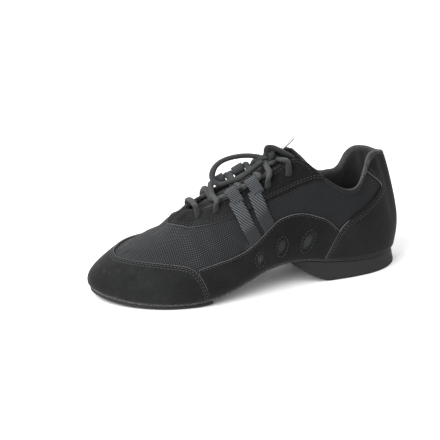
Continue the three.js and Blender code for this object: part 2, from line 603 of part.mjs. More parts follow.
// elastic straps from the mudguard up over the eyestay to a loop at the throat
// up: height on the section; front, rear: way of the centre line of each strap
const strapRows = [
  { up: 0.28, front: 0.5065, rear: 0.4600 }, { up: 0.45, front: 0.526, rear: 0.479 },
  { up: 0.60, front: 0.539, rear: 0.490 }, { up: 0.75, front: 0.550, rear: 0.496 }
];
const loopRows = { front: 0.742, rear: 0.712 };
const strapHalf = strapWidth / 2 / (soleLength * 1.152);
const strapOver = overlayLow + overlayThickness + overlayGap + 0.1;
function strap(side, which) {
  const top = loopRows[which];
  const centre = (up) => table(strapRows, "up", which, up);
  const foot = (way) => table(mudEdge, "way", "up", way) + seamUp * 1.8;
  const grid = [-1, 0, 1].map((across) => {
    const start = foot(centre(0.3) + across * strapHalf);
    return [0, 0.16, 0.32, 0.44, 0.56, 0.68, 0.84, 1].map((s) => {
      const up = start + (top - start) * s;
      return [side, centre(up) + across * strapHalf * (1 - (1 - loopLength / strapWidth) * s * s), up];
    });
  });
  const height = (up) => {
    const climb = Math.min(Math.max((up - 0.44) / 0.075, 0), 1);
    return overlayLow + (strapOver - overlayLow) * climb * climb * (3 - 2 * climb);
  };
  const lay = (extra) => grid.map((column) => column.map(([s, way, up]) =>
    lastPoint(s, way, up, height(up) + extra)));
  const band = wallBetween(lay(strapThickness), lay(0));
  const ring = new THREE.Shape();
  const outerRadius = loopBore / 2 + strapThickness;
  const round = (radius) => share(12).slice(0, -1).map((u) =>
    new THREE.Vector2(Math.cos(u * 2 * Math.PI) * radius, Math.sin(u * 2 * Math.PI) * radius));
  ring.setFromPoints(round(outerRadius));
  ring.holes.push(new THREE.Path().setFromPoints(round(loopBore / 2).reverse()));
  const tube = new THREE.ExtrudeGeometry(ring, { depth: loopLength, bevelEnabled: false, steps: 1 });
  tube.translate(0, 0, -loopLength / 2);
  const lift = strapOver + strapThickness - 0.2 + loopBore / 2;
  const at = (way) => new THREE.Vector3(...lastPoint(side, way, top + 0.03, lift));
  const direction = at(centre(top) + strapHalf).sub(at(centre(top) - strapHalf)).normalize();
  tube.applyQuaternion(new THREE.Quaternion().setFromUnitVectors(new THREE.Vector3(0, 0, 1), direction));
  const middle = at(centre(top));
  tube.translate(middle.x, middle.y, middle.z);
  return { form: solidOf(band.geometry()).add(solidOf(tube)), middle, direction };
}

const straps = {};
for (const [where, side] of [["outer", 1], ["inner", -1]]) {
  for (const which of ["front", "rear"]) straps[`${which}_${where}`] = strap(side, which);
}

// Lace
// eyelets on each side of the throat
const eyelets = {
  first: { way: 0.640, up: 0.785 },
  second: { way: 0.595, up: 0.715 },
  third: { way: 0.453, up: 0.618 },
  fourth: { way: 0.393, up: 0.600 }
};
// where the strands cross the middle; dip: how deep they lie there under the closed form
const middles = {
  bar: { way: 0.640, dip: -4.2 },
  one: { way: 0.583, dip: 3.6 },
  two: { way: 0.523, dip: 5.2 },
  three: { way: 0.471, dip: 6.9 },
  four: { way: 0.434, dip: 5.9 },
  top: { way: 0.405, dip: 8.3 },
  knot: { way: 0.4235, dip: 3.0 }
};
const laceOver = overlayLow + overlayThickness + laceGap + laceWidth / 2;
const laceBend = laceOver + laceRise;
const vector = (p) => new THREE.Vector3(...p);
function tubeAlong(points, steps, width = laceWidth, sides = 8) {
  const round = share(sides).slice(0, -1).map((u) => new THREE.Vector2(Math.cos(u * 2 * Math.PI) * width / 2,
    Math.sin(u * 2 * Math.PI) * width / 2));
  return new THREE.ExtrudeGeometry(new THREE.Shape(round),
    { steps, bevelEnabled: false, extrudePath: new THREE.CatmullRomCurve3(points, false, "centripetal") });
}
const overEye = (side, eye) => vector(lastPoint(side, eye.way, eye.up, laceOver));
const overRim = (side, way, lift = laceOver) => vector(lastPoint(side, way,
  Math.min(rimUp(way) - laceEdge / instepHeight, 0.99), lift));
const overMiddle = ({ way, dip }) => vector(lastPoint(1, way, 1, -dip));
// mouth of a strap's loop: turn +1 towards the toe
function mouth(side, which, turn) {
  const { middle, direction } = straps[`${which}_${side > 0 ? "outer" : "inner"}`];
  const toToe = direction.clone().multiplyScalar(Math.sign(direction.x) * turn);
  const edge = middle.clone().addScaledVector(toToe, loopLength / 2 + seatGap);
  return [edge, edge.clone().addScaledVector(toToe, laceWidth / 2).add(new THREE.Vector3(0, 0, laceGap))];
}
// where a strand slips under the edge of the throat, it stops short of it
const underRim = (side, way, tuck = laceTuck) => vector(lastPoint(side, way,
  rimUp(way) + laceStop / instepHeight, laceWidth / 2 - tuck));
const { first, second, third, fourth } = eyelets;
const strands = {
  bar: [[overEye(1, first), overRim(1, first.way), overMiddle(middles.bar),
    overRim(-1, first.way), overEye(-1, first)]],
  cross_1: [1, -1].map((s) => [overEye(s, second), overRim(s, 0.590, laceBend), overMiddle(middles.one),
    ...mouth(-s, "front", 1).reverse()]),
  cross_2: [1, -1].map((s) => [...mouth(s, "front", -1), overMiddle(middles.two),
    ...mouth(-s, "rear", 1).reverse()]),
  cross_3: [1, -1].map((s) => [...mouth(s, "rear", -1), overMiddle(middles.three), underRim(-s, 0.468)]),
  cross_4: [1, -1].map((s) => [overEye(s, third), overRim(s, 0.446, laceBend), overMiddle(middles.four),
    underRim(-s, 0.420)]),
  top_bar: [[overEye(1, fourth), overRim(1, 0.394, laceBend), overMiddle(middles.top),
    underRim(-1, 0.400, deepTuck)]]
};
const strandSteps = 7;
const joined = (lines, width) => lines.map((points) => solidOf(tubeAlong(points, strandSteps, width)))
  .reduce((a, b) => a.add(b));
const laces = Object.fromEntries(Object.entries(strands).map(([name, lines]) => [name, joined(lines)]));

// the knot, the bow's two loops and the free end with its tip
const biggest = (solid) => solid.decompose().sort((a, b) => b.volume() - a.volume())[0];
const knotAt = overMiddle(middles.knot);
function knotBall(grown) {
  const ball = new THREE.SphereGeometry(knotSize / 2 + grown, 12, 8);
  ball.scale(1.05, 0.95, 0.72);
  ball.rotateY(0.5);
  ball.translate(knotAt.x, knotAt.y, knotAt.z);
  return solidOf(ball);
}
const clearWidth = laceWidth + 3 * seatGap;
const knot = biggest(knotBall(0).subtract(joined([...strands.cross_4, ...strands.top_bar], clearWidth)));
// points of each cord from the knot's middle, in millimetres
const frontLoopPoints = [
  { x: 3.9, y: -3.1, z: -0.8 }, { x: 7.9, y: -6.4, z: -0.7 }, { x: 13.4, y: -9.6, z: -0.5 },
  { x: 20.1, y: -12.1, z: -0.9 }, { x: 27.9, y: -13.8, z: -2.2 }, { x: 35.2, y: -14.4, z: -4.6 },
  { x: 40.9, y: -13.6, z: -8.7 }, { x: 43.8, y: -11.4, z: -14.2 }, { x: 43.5, y: -7.1, z: -18.0 },
  { x: 39.6, y: -2.0, z: -18.6 }, { x: 34.2, y: 3.2, z: -15.2 }, { x: 27.0, y: 4.9, z: -13.0 },
  { x: 19.2, y: 4.3, z: -8.9 }, { x: 12.1, y: 3.2, z: -4.7 }, { x: 6.7, y: 2.6, z: -1.8 }
];
const rearLoopPoints = [
  { x: 1.6, y: 0.3, z: 2.6 }, { x: 2.7, y: 0.5, z: 5.8 }, { x: 1.4, y: 1.0, z: 8.4 },
  { x: -1.7, y: 1.8, z: 8.9 }, { x: -5.6, y: 2.8, z: 7.3 }, { x: -10.1, y: 3.6, z: 4.4 },
  { x: -14.6, y: 4.0, z: 1.6 }, { x: -17.9, y: 3.0, z: -1.1 }, { x: -18.6, y: 0.7, z: -1.9 },
  { x: -16.4, y: -1.0, z: -0.6 }, { x: -12.7, y: -1.7, z: 2.1 }, { x: -8.5, y: -1.9, z: 4.8 },
  { x: -4.5, y: -2.4, z: 5.9 }, { x: -1.5, y: -2.2, z: 3.6 }
];
const endPoints = [
  { x: -1.6, y: -4.7, z: 1.3 }, { x: -4.8, y: -6.7, z: 1.8 }, { x: -8.6, y: -7.0, z: 2.0 },
  { x: -12.8, y: -6.5, z: 2.5 }
];
// the tip stands up from the end, slightly bent
const agletLean = new THREE.Vector3(-8.0, 0.0, 6.6).normalize();
const fromKnot = (rows) => rows.map((row) => new THREE.Vector3(row.x, row.y, row.z).add(knotAt));
const knotRoom = knotBall(seatGap + 0.2);
const cordOf = (rows, steps) => biggest(solidOf(tubeAlong(fromKnot(rows), steps)).subtract(knotRoom));
const frontLoop = cordOf(frontLoopPoints, 22);
const rearLoop = cordOf(rearLoopPoints, 18);
const laceEnd = cordOf(endPoints, 6);
const agletStart = fromKnot(endPoints)[endPoints.length - 1];
const aglet = new THREE.CylinderGeometry(agletWidth * 0.46, agletWidth / 2, agletLength, 10);
aglet.translate(0, agletLength / 2 + agletWidth / 2, 0);
aglet.applyQuaternion(new THREE.Quaternion().setFromUnitVectors(new THREE.Vector3(0, 1, 0), agletLean));
aglet.translate(agletStart.x, agletStart.y, agletStart.z);

// The group
const looks = {
  suede: { color: 0x1c1c1e, roughness: 0.95, metalness: 0 },
  mesh: { color: 0x26272a, roughness: 0.85, metalness: 0 },
  rubber: { color: 0x232427, roughness: 0.7, metalness: 0 },
  lining: { color: 0x1a1a1c, roughness: 0.9, metalness: 0 },
  webbing: { color: 0x3c4246, roughness: 0.8, metalness: 0 },
  cord: { color: 0x34383a, roughness: 0.85, metalness: 0 },
  clear: { color: 0xa8adb0, roughness: 0.25, metalness: 0 }
};
const shoe = new THREE.Group();
function piece(name, form, look) {
  const geometry = form instanceof Skin ? form.geometry() : form;
  const mesh = new THREE.Mesh(geometry, new THREE.MeshStandardMaterial(looks[look]));
  mesh.name = name;
  shoe.add(mesh);
  return mesh;
}
piece("outsole_forefoot", outsoleForefoot, "rubber");
piece("heel", heelBlock, "rubber");
piece("midsole", midsole, "rubber");
piece("insole", insole, "lining");
piece("upper", upper, "mesh");
piece("tongue", tongue, "lining");
piece("collar_lining", collarLining, "lining");
piece("toe_cap", toeCap, "suede");
piece("mudguard_outer", mudguard(1), "suede");
piece("mudguard_inner", mudguard(-1), "suede");
piece("heel_counter", heelCounter, "suede");
piece("eyestay", eyestay, "suede");
for (const name of Object.keys(straps)) piece(`strap_${name}`, formOf(straps[name].form), "webbing");
for (const name of Object.keys(laces)) piece(`lace_${name}`, formOf(laces[name]), "cord");
piece("lace_knot", formOf(knot), "cord");
piece("lace_loop_front", formOf(frontLoop), "cord");
piece("lace_loop_rear", formOf(rearLoop), "cord");
piece("lace_end", formOf(laceEnd), "cord");
piece("aglet", aglet, "clear");

export default shoe;
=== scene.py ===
from math import pi, radians, sin, cos

import bmesh
import bpy
import numpy as np
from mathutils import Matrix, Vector


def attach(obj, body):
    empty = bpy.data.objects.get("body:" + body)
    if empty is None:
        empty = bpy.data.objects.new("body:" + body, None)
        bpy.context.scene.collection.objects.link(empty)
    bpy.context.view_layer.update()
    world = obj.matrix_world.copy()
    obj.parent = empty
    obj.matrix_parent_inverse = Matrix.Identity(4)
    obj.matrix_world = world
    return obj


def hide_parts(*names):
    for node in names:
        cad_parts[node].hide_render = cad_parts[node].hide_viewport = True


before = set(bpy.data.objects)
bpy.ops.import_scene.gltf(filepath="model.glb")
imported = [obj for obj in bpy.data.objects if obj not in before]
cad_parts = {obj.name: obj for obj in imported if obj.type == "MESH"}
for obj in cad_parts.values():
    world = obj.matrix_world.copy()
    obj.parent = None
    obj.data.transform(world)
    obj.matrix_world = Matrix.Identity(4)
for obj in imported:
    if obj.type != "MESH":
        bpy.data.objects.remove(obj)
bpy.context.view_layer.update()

mm = 0.001
print("sneaker: solids loaded")


def putInScene(name, data):
    made = bpy.data.objects.new(name, data)
    bpy.context.scene.collection.objects.link(made)
    return made


# Camera: the photograph's angle
view = {
    "azimuth": 161,
    "elevation": 23,
    "distance": 1.5,
    "target": (0.107, -0.026, 0.040),
    "lens": 151.5,
    "sensor": 36.0,
}


def placeCamera():
    a, e = radians(view["azimuth"]), radians(view["elevation"])
    back = Vector((sin(a) * cos(e), -cos(a) * cos(e), sin(e)))
    lens = bpy.data.cameras.new("camera")
    lens.lens = view["lens"]
    lens.sensor_width = view["sensor"]
    lens.sensor_fit = "HORIZONTAL"
    lens.clip_start = 0.05
    camera = putInScene("camera", lens)
    camera.location = Vector(view["target"]) + back * view["distance"]
    camera.rotation_mode = "QUATERNION"
    camera.rotation_quaternion = (-back).to_track_quat("-Z", "Y")
    bpy.context.scene.camera = camera


placeCamera()

# The last: the form that every piece of the upper lies on
last = {
    "length": 254,
    "ball": 90,
    "instep": 93,
    "heelBack": 32,
    "pad": 2.4,
    "midsole": 2.5,
    "insole": 3.0,
    "heelLift": 10.2,
    "archLift": 8.6,
    "toeSpring": 4.6,
    "seat": 0.3,
    "wall": 1.8,
    "tipSide": -0.035,
    "heelAt": 0.125,
    "toeAt": 0.80,
    "heelPart": 0.17,
    "toePart": 0.755,
    "bellyLow": 6,
    "throat": 0.655,
    "wayStretch": 2.6,
    "wayLength": 1.15,  # one share of way, in lengths
}
# place along the length, outer and inner half width of the sole
outlineRows = [
    (0.012, 0.120, 0.120), (0.045, 0.225, 0.220), (0.100, 0.300, 0.295), (0.180, 0.335, 0.325),
    (0.300, 0.340, 0.300), (0.420, 0.365, 0.290), (0.540, 0.435, 0.345), (0.640, 0.490, 0.430),
    (0.730, 0.495, 0.475), (0.810, 0.455, 0.465), (0.880, 0.375, 0.400), (0.940, 0.265, 0.300),
    (0.983, 0.130, 0.185),
]
# place along the length, ridge height, roundness, belly outer and inner, ridge sideways,
# and the rise at the heel, the arch and the toe
sectionRows = [
    (0.00, 1.086, 2.30, 0.024, 0.024, 0.000, 0.98, 0.00, 0.0),
    (0.12, 1.312, 2.30, 0.028, 0.028, 0.000, 1.00, 0.06, 0.0),
    (0.25, 1.312, 2.10, 0.033, 0.039, 0.000, 1.00, 0.38, 0.0),
    (0.36, 1.194, 1.85, 0.039, 0.050, -0.020, 0.90, 1.00, 0.0),
    (0.47, 1.000, 1.80, 0.044, 0.056, -0.035, 0.58, 1.16, 0.0),
    (0.58, 0.828, 1.85, 0.050, 0.050, -0.050, 0.20, 0.55, 0.0),
    (0.68, 0.672, 1.90, 0.044, 0.044, -0.060, 0.04, 0.08, 0.0),
    (0.79, 0.495, 2.00, 0.033, 0.033, -0.050, 0.00, 0.00, 0.0),
    (0.90, 0.398, 2.30, 0.022, 0.022, -0.040, 0.00, 0.00, 0.3),
    (1.00, 0.290, 2.40, 0.009, 0.009, -0.035, 0.00, 0.00, 1.0),
]
# the upper's rim: way round from heel to toe, height up the section
rimRows = [
    (0.000, 0.596), (0.050, 0.597), (0.090, 0.592), (0.130, 0.570), (0.155, 0.535), (0.170, 0.488),
    (0.180, 0.425), (0.190, 0.372), (0.205, 0.337), (0.225, 0.330), (0.250, 0.352), (0.275, 0.397),
    (0.300, 0.455), (0.323, 0.535), (0.338, 0.597), (0.352, 0.650), (0.367, 0.688), (0.383, 0.706),
    (0.405, 0.712), (0.450, 0.716), (0.500, 0.732), (0.550, 0.756), (0.593, 0.786), (0.620, 0.828),
    (0.638, 0.888), (0.648, 0.944), (0.655, 1.000),
]
# the collar is lower on the inner side: way round, and by how much
innerDropRows = [
    (0.000, 0.000), (0.025, 0.022), (0.060, 0.048), (0.110, 0.066), (0.155, 0.078), (0.185, 0.056),
    (0.215, 0.026), (0.250, 0.030), (0.280, 0.018), (0.300, 0.000),
]


def together(*values):
    return np.broadcast_arrays(*[np.asarray(v, float) for v in values])


def smooth(rows, column, at):
    rows = np.array(rows, float)
    xs, ys = rows[:, 0], rows[:, column]
    before = np.maximum(np.arange(len(xs)) - 1, 0)
    after = np.minimum(np.arange(len(xs)) + 1, len(xs) - 1)
    slopes = (ys[after] - ys[before]) / (xs[after] - xs[before])
    at = np.clip(at, xs[0], xs[-1])
    i = np.clip(np.searchsorted(xs, at, side="right") - 1, 0, len(xs) - 2)
    h = xs[i + 1] - xs[i]
    t = (at - xs[i]) / h
    start = ys[i] * (2 * t**3 - 3 * t**2 + 1) + slopes[i] * h * (t**3 - 2 * t**2 + t)
    end = ys[i + 1] * (3 * t**2 - 2 * t**3) + slopes[i + 1] * h * (t**3 - t**2)
    return start + end


def curveThrough(points, per=16, closed=False, centripetal=True):
    points = np.array(points, float)
    count = len(points)
    steps = np.linspace(0, 1, per, endpoint=False)[:, None]
    pieces = []
    for i in range(count if closed else count - 1):
        if closed:
            p0, p1, p2, p3 = [points[(i + k) % count] for k in (-1, 0, 1, 2)]
        else:
            p1, p2 = points[i], points[i + 1]
            p0 = points[i - 1] if i else 2 * p1 - p2
            p3 = points[i + 2] if i + 2 < count else 2 * p2 - p1
        if centripetal:
            spans = (p1 - p0, p2 - p1, p3 - p2)
            a, b, c = [max(np.linalg.norm(span) ** 0.5, 1e-6) for span in spans]
        else:
            a = b = c = 1.0
        t1 = ((p1 - p0) / a - (p2 - p0) / (a + b) + (p2 - p1) / b) * b
        t2 = ((p2 - p1) / b - (p3 - p1) / (b + c) + (p3 - p2) / c) * b
        s = steps
        pieces.append((2 * s**3 - 3 * s**2 + 1) * p1 + (s**3 - 2 * s**2 + s) * t1
                      + (3 * s**2 - 2 * s**3) * p2 + (s**3 - s**2) * t2)
    if not closed:
        pieces.append(points[-1:])
    return np.vstack(pieces)


def lengthsAlong(points):
    return np.concatenate([[0], np.cumsum(np.linalg.norm(np.diff(points, axis=0), axis=1))])


def evenly(points, step):
    s = lengthsAlong(points)
    at = np.linspace(0, s[-1], max(int(round(s[-1] / step)), 2) + 1)
    return np.column_stack([np.interp(at, s, points[:, k]) for k in range(points.shape[1])])


def section(column, x):
    return smooth(sectionRows, column, np.asarray(x) / last["length"])


def innerDrop(side, way):
    drop = smooth(innerDropRows, 1, way)
    return np.where((np.asarray(side) > 0) | (np.asarray(way) > innerDropRows[-1][0]), 0.0, drop)


def rimUp(way, side=1):
    way = np.asarray(way, float)
    rim = np.minimum(smooth(rimRows, 1, way), 0.9985) - innerDrop(side, way)
    return np.where(way >= last["throat"], 1.0, rim)


def spring(x):
    return np.maximum(section(8, x), 0) * last["toeSpring"]


def underside(x):
    return (last["pad"] + last["seat"] + section(6, x) * last["heelLift"]
            + section(7, x) * last["archLift"] + spring(x))


def featherEdge(x):
    return underside(x) + last["midsole"] + last["seat"]


def ridgeSide(x):
    return section(5, x) * last["ball"]


def ribDirections(side, way):
    heel, toe = last["heelPart"], last["toePart"]
    xHeel, xToe = last["heelAt"] * last["length"], last["toeAt"] * last["length"]
    heelTurn = np.clip(way / heel, 0, 1) * pi / 2
    toeTurn = np.clip((1 - way) / (1 - toe), 0, 1) * pi / 2
    x = xHeel + (xToe - xHeel) * np.clip((way - heel) / (toe - heel), 0, 1)
    outX = np.where(way < heel, -np.cos(heelTurn), np.where(way > toe, np.cos(toeTurn), 0))
    outY = np.where(way < heel, np.sin(heelTurn), np.where(way > toe, np.sin(toeTurn), 1))
    return x, ridgeSide(x), outX, outY * side


def measureRibs(side, ways):
    length, ball = last["length"], last["ball"]
    outline = [(0, 0)] + [(a * length, o * ball) for a, o, _ in outlineRows]
    outline.append((length, last["tipSide"] * ball))
    outline += [(a * length, -i * ball) for a, _, i in reversed(outlineRows)]
    edge = curveThrough(outline, 24, closed=True)
    edge = np.vstack([edge, edge[:1]])
    x, y, outX, outY = ribDirections(side, ways)
    reach = np.zeros(len(ways))
    for k in range(len(ways)):
        rel = edge - [x[k], y[k]]
        across = rel[:, 0] * outY[k] - rel[:, 1] * outX[k]
        along = rel[:, 0] * outX[k] + rel[:, 1] * outY[k]
        crosses = (across[:-1] * across[1:] <= 0) & (across[:-1] != across[1:])
        i = np.where(crosses & (along[:-1] > 0))[0][0]
        f = across[i] / (across[i] - across[i + 1])
        reach[k] = along[i] + f * (along[i + 1] - along[i])
    return reach


ribWays = np.linspace(0, 1, 1201)
ribReach = {side: measureRibs(side, ribWays) for side in (1, -1)}


def ribs(side, way):
    side, way = together(side, way)
    x, y, outX, outY = ribDirections(side, way)
    reach = np.where(side > 0, np.interp(way, ribWays, ribReach[1]), np.interp(way, ribWays, ribReach[-1]))
    return x, y, outX, outY, reach


# Creases: side (1 outer, -1 inner, 0 both), depth, width, and the line's way and height
creases = [
    (0, 0.75, 4.0, [(0.632, 0.36), (0.645, 0.52), (0.662, 0.70), (0.672, 0.86)]),
    (1, 0.50, 4.6, [(0.690, 0.46), (0.702, 0.62), (0.706, 0.80)]),
    (-1, 0.60, 4.6, [(0.694, 0.44), (0.712, 0.60), (0.716, 0.78)]),
    (0, 0.40, 4.5, [(0.770, 0.60), (0.860, 0.67), (0.950, 0.72)]),
    (1, 0.35, 4.0, [(0.585, 0.34), (0.600, 0.44), (0.604, 0.52)]),
    (1, 0.55, 5.0, [(0.232, 0.31), (0.262, 0.26), (0.286, 0.22)]),
    (1, 0.45, 4.2, [(0.284, 0.40), (0.306, 0.34), (0.342, 0.29)]),
    (-1, 0.60, 5.0, [(0.236, 0.30), (0.270, 0.24), (0.300, 0.20)]),
    (0, 0.45, 4.0, [(0.186, 0.34), (0.202, 0.28), (0.212, 0.22)]),
    (1, 0.50, 5.5, [(0.102, 0.52), (0.094, 0.38), (0.080, 0.22)]),
    (-1, 0.45, 5.5, [(0.110, 0.50), (0.090, 0.34), (0.084, 0.20)]),
    (1, 0.45, 6.0, [(0.020, 0.50), (0.024, 0.36), (0.016, 0.24)]),
    (1, 0.45, 6.5, [(0.350, 0.21), (0.395, 0.15), (0.440, 0.10)]),
    (1, 0.40, 6.5, [(0.515, 0.20), (0.560, 0.15), (0.610, 0.11)]),
    (1, 0.45, 6.5, [(0.770, 0.34), (0.815, 0.29), (0.870, 0.27)]),
    (1, 0.30, 5.0, [(0.690, 0.22), (0.712, 0.13), (0.742, 0.08)]),
    (-1, 0.40, 6.0, [(0.760, 0.30), (0.800, 0.24), (0.850, 0.22)]),
    (1, 0.50, 4.4, [(0.352, 0.62), (0.340, 0.56), (0.336, 0.49)]),
    (1, 0.40, 4.2, [(0.418, 0.68), (0.424, 0.60), (0.436, 0.54)]),
    (0, 0.40, 3.4, [(0.640, 0.80), (0.664, 0.76), (0.684, 0.74)]),
]
creaseShare = 1.3
creaseScale = np.array([290.0, 92.0])  # millimetres over one share of way and of height


def creaseDepth(side, way, up):
    side, way, up = np.broadcast_arrays(side, way, up)
    at = np.stack([way, up], -1) * creaseScale
    total = np.zeros(way.shape)
    for onSide, depth, width, route in creases:
        line = curveThrough(np.array(route) * creaseScale, 5)
        near = np.full(way.shape, 1e9)
        for a, b in zip(line[:-1], line[1:]):
            along = np.clip(((at - a) @ (b - a)) / ((b - a) @ (b - a)), 0, 1)
            near = np.minimum(near, np.linalg.norm(at - a - along[..., None] * (b - a), axis=-1))
        d = near / width
        shape = -np.exp(-d**2) + 0.45 * np.exp(-((d - 1.9) ** 2))  # a valley between two low ridges
        on = 1.0 if onSide == 0 else (side == onSide)
        total += creaseShare * depth * shape * on
    return total


def onLast(side, way, up, offset=0.0, soft=1.0):
    side, way, up, offset = together(side, way, up, offset)
    x0, y0, outX, outY, reach = ribs(side, way)
    xEdge = x0 + outX * reach
    power = 2 / section(2, xEdge)
    zEdge = featherEdge(xEdge)
    outer = section(3, xEdge) * last["ball"]
    inner = section(4, xEdge) * last["ball"]
    mean = (outer + inner) / 2
    belly = mean + (np.where(side > 0, outer, inner) - mean) * np.abs(outY)
    low = last["bellyLow"]
    bellyTop = (1 / (low + 1)) * (low / (low + 1)) ** low

    def profile(v):
        u = np.clip(v, 0, 1)
        c = np.maximum(np.cos(u * pi / 2), 0) ** power
        s = np.maximum(np.sin(u * pi / 2), 0) ** power
        r = reach * c + belly * u * (1 - u) ** low / bellyTop
        ridge = section(1, x0 + outX * r) * last["instep"]
        return r, zEdge + (ridge - zEdge) * s

    r, z = profile(up)
    ra, za = profile(up - 0.004)
    rb, zb = profile(up + 0.004)
    size = np.hypot(rb - ra, zb - za) + 1e-12
    top = up >= 0.9995
    normalR = np.where(top, 0, (zb - za) / size)
    normalZ = np.where(top, 1, (ra - rb) / size)
    if soft:
        offset = offset + soft * creaseDepth(side, way, up)
    r = r + offset * normalR
    z = z + offset * normalZ
    return np.stack([x0 + outX * r - last["heelBack"], y0 + outY * r, z], -1)


def onSole(side, way, share, margin, height):
    side, way, share, margin = together(side, way, share, margin)
    x0, y0, outX, outY, reach = ribs(side, way)
    r = np.maximum(reach + margin, 0) * share
    x = x0 + outX * r
    return np.stack([x - last["heelBack"], y0 + outY * r, height(x)], -1)


# Flat chart of the cloth, in millimetres: it gives the weave its places
chartWays = np.linspace(0, 1, 401)
chartUps = np.linspace(0, 1, 121)


def measureChart(side):
    points = onLast(side, chartWays[:, None], chartUps[None, :], 0.0, soft=0)
    steps = np.linalg.norm(np.diff(points, axis=1), axis=2)
    fromRidge = np.cumsum(steps[:, ::-1], axis=1)[:, ::-1]
    return np.column_stack([fromRidge, np.zeros(len(chartWays))])


chartLengths = {side: measureChart(side) for side in (1, -1)}


def fromRidge(side, way, up):
    side, way, up = together(side, way, up)
    i = np.clip(way * (len(chartWays) - 1), 0, len(chartWays) - 1.001)
    j = np.clip(up * (len(chartUps) - 1), 0, len(chartUps) - 1.001)
    a, b = i.astype(int), j.astype(int)
    f, g = i - a, j - b
    both = []
    for s in (1, -1):
        t = chartLengths[s]
        both.append(t[a, b] * (1 - f) * (1 - g) + t[a + 1, b] * f * (1 - g)
                    + t[a, b + 1] * (1 - f) * g + t[a + 1, b + 1] * f * g)
    return np.where(side > 0, both[0], both[1])


def chart(side, way, up):
    s = fromRidge(side, way, up)
    x0, _, outX, outY, _ = ribs(side, way)
    heelTurn = (1 - np.clip(way / last["heelPart"], 0, 1)) * pi / 2
    atToe = way > last["toePart"]
    u = np.where(atToe, x0 + outX * s, x0 - heelTurn * 33)
    v = np.where(atToe, outY * s, np.asarray(side) * s)
    return np.stack([u, v], -1)


# height on the section that lies rise millimetres further up than up
def heightAbove(side, way, up, rise):
    step = 0.01
    scale = (fromRidge(side, way, up - step) - fromRidge(side, way, up + step)) / (2 * step)
    return up + rise / np.maximum(scale, 20)


# Finishes: shader maths written as expressions
class Wire:
    def __init__(self, finish, socket):
        self.finish = finish
        self.socket = socket

    def maths(self, operation, *values):
        return self.finish.node("ShaderNodeMath", {"operation": operation}, dict(enumerate(values)))

    def __add__(self, other):
        return self.maths("ADD", self, other)

    def __radd__(self, other):
        return self.maths("ADD", other, self)

    def __sub__(self, other):
        return self.maths("SUBTRACT", self, other)

    def __rsub__(self, other):
        return self.maths("SUBTRACT", other, self)

    def __mul__(self, other):
        return self.maths("MULTIPLY", self, other)

    def __rmul__(self, other):
        return self.maths("MULTIPLY", other, self)

    def __truediv__(self, other):
        return self.maths("DIVIDE", self, other)

    def __pow__(self, other):
        return self.maths("POWER", self, other)

    def other(self, index):
        return Wire(self.finish, self.socket.node.outputs[index])


def grey(value, tint=(1.0, 1.0, 1.0)):
    return (value * tint[0], value * tint[1], value * tint[2], 1.0)


class Finish:
    def __init__(self, name, **fixed):
        self.material = bpy.data.materials.new(name)
        self.material.use_nodes = True
        self.tree = self.material.node_tree
        self.shader = self.tree.nodes["Principled BSDF"]
        for key, value in fixed.items():
            self.shader.inputs[key.replace("_", " ")].default_value = value

    def node(self, kind, settings=None, values=None, out=0):
        made = self.tree.nodes.new(kind)
        for key, value in (settings or {}).items():
            if key == "stops":
                elements = made.color_ramp.elements
                while len(elements) < len(value):
                    elements.new(0.5)
                for element, (position, shade) in zip(elements, value):
                    element.position = position
                    element.color = shade
            else:
                setattr(made, key, value)
        for key, value in (values or {}).items():
            self.feed(made.inputs[key], value)
        return Wire(self, made.outputs[out])

    def feed(self, socket, value):
        if isinstance(value, Wire):
            self.tree.links.new(value.socket, socket)
        else:
            socket.default_value = value

    def set(self, name, value):
        self.feed(self.shader.inputs[name], value)

    def place(self):
        return self.node("ShaderNodeTexCoord").other("Object")

    def flat(self, name):
        u = self.node("ShaderNodeSeparateXYZ", None, {0: self.node("ShaderNodeUVMap", {"uv_map": name})})
        return u, u.other(1)

    def noise(self, scale, detail, rough):
        values = {"Vector": self.place(), "Scale": scale, "Detail": detail, "Roughness": rough}
        return self.node("ShaderNodeTexNoise", None, values)

    def range(self, value, low, high, toLow=0.0, toHigh=1.0):
        values = {0: value, 1: low, 2: high, 3: toLow, 4: toHigh}
        return self.node("ShaderNodeMapRange", None, values)

    def mix(self, factor, a, b):
        return self.node("ShaderNodeMix", {"data_type": "RGBA"}, {0: factor, 6: a, 7: b}, 2)

    def shades(self, factor, look, low="dark", high="light", gain=1.0):
        tint = look.get("tint", (1.0, 1.0, 1.0))
        return self.mix(factor, grey(look[low] * gain, tint), grey(look[high] * gain, tint))

    def wave(self, value):
        return value.maths("SINE", value) * 0.5 + 0.5

    def split(self):  # X, with Y and Z as its others
        return self.node("ShaderNodeSeparateXYZ", None, {0: self.place()})

    # painted light: a mask that rises toward the toe, used to make colours lighter on the toe side
    def litTowardToe(self):
        return self.range(self.split(), 0.080, 0.155)

    def scaled(self, colour, by):
        return self.node("ShaderNodeVectorMath", {"operation": "SCALE"}, {0: colour, "Scale": by})

    def bump(self, height, depth, strength=1.0):
        values = {"Height": height, "Distance": depth, "Strength": strength}
        self.set("Normal", self.node("ShaderNodeBump", None, values))


suedeLook = {"dark": 0.0032, "light": 0.0115, "speck": 0.028, "tint": (0.97, 1.0, 1.04)}


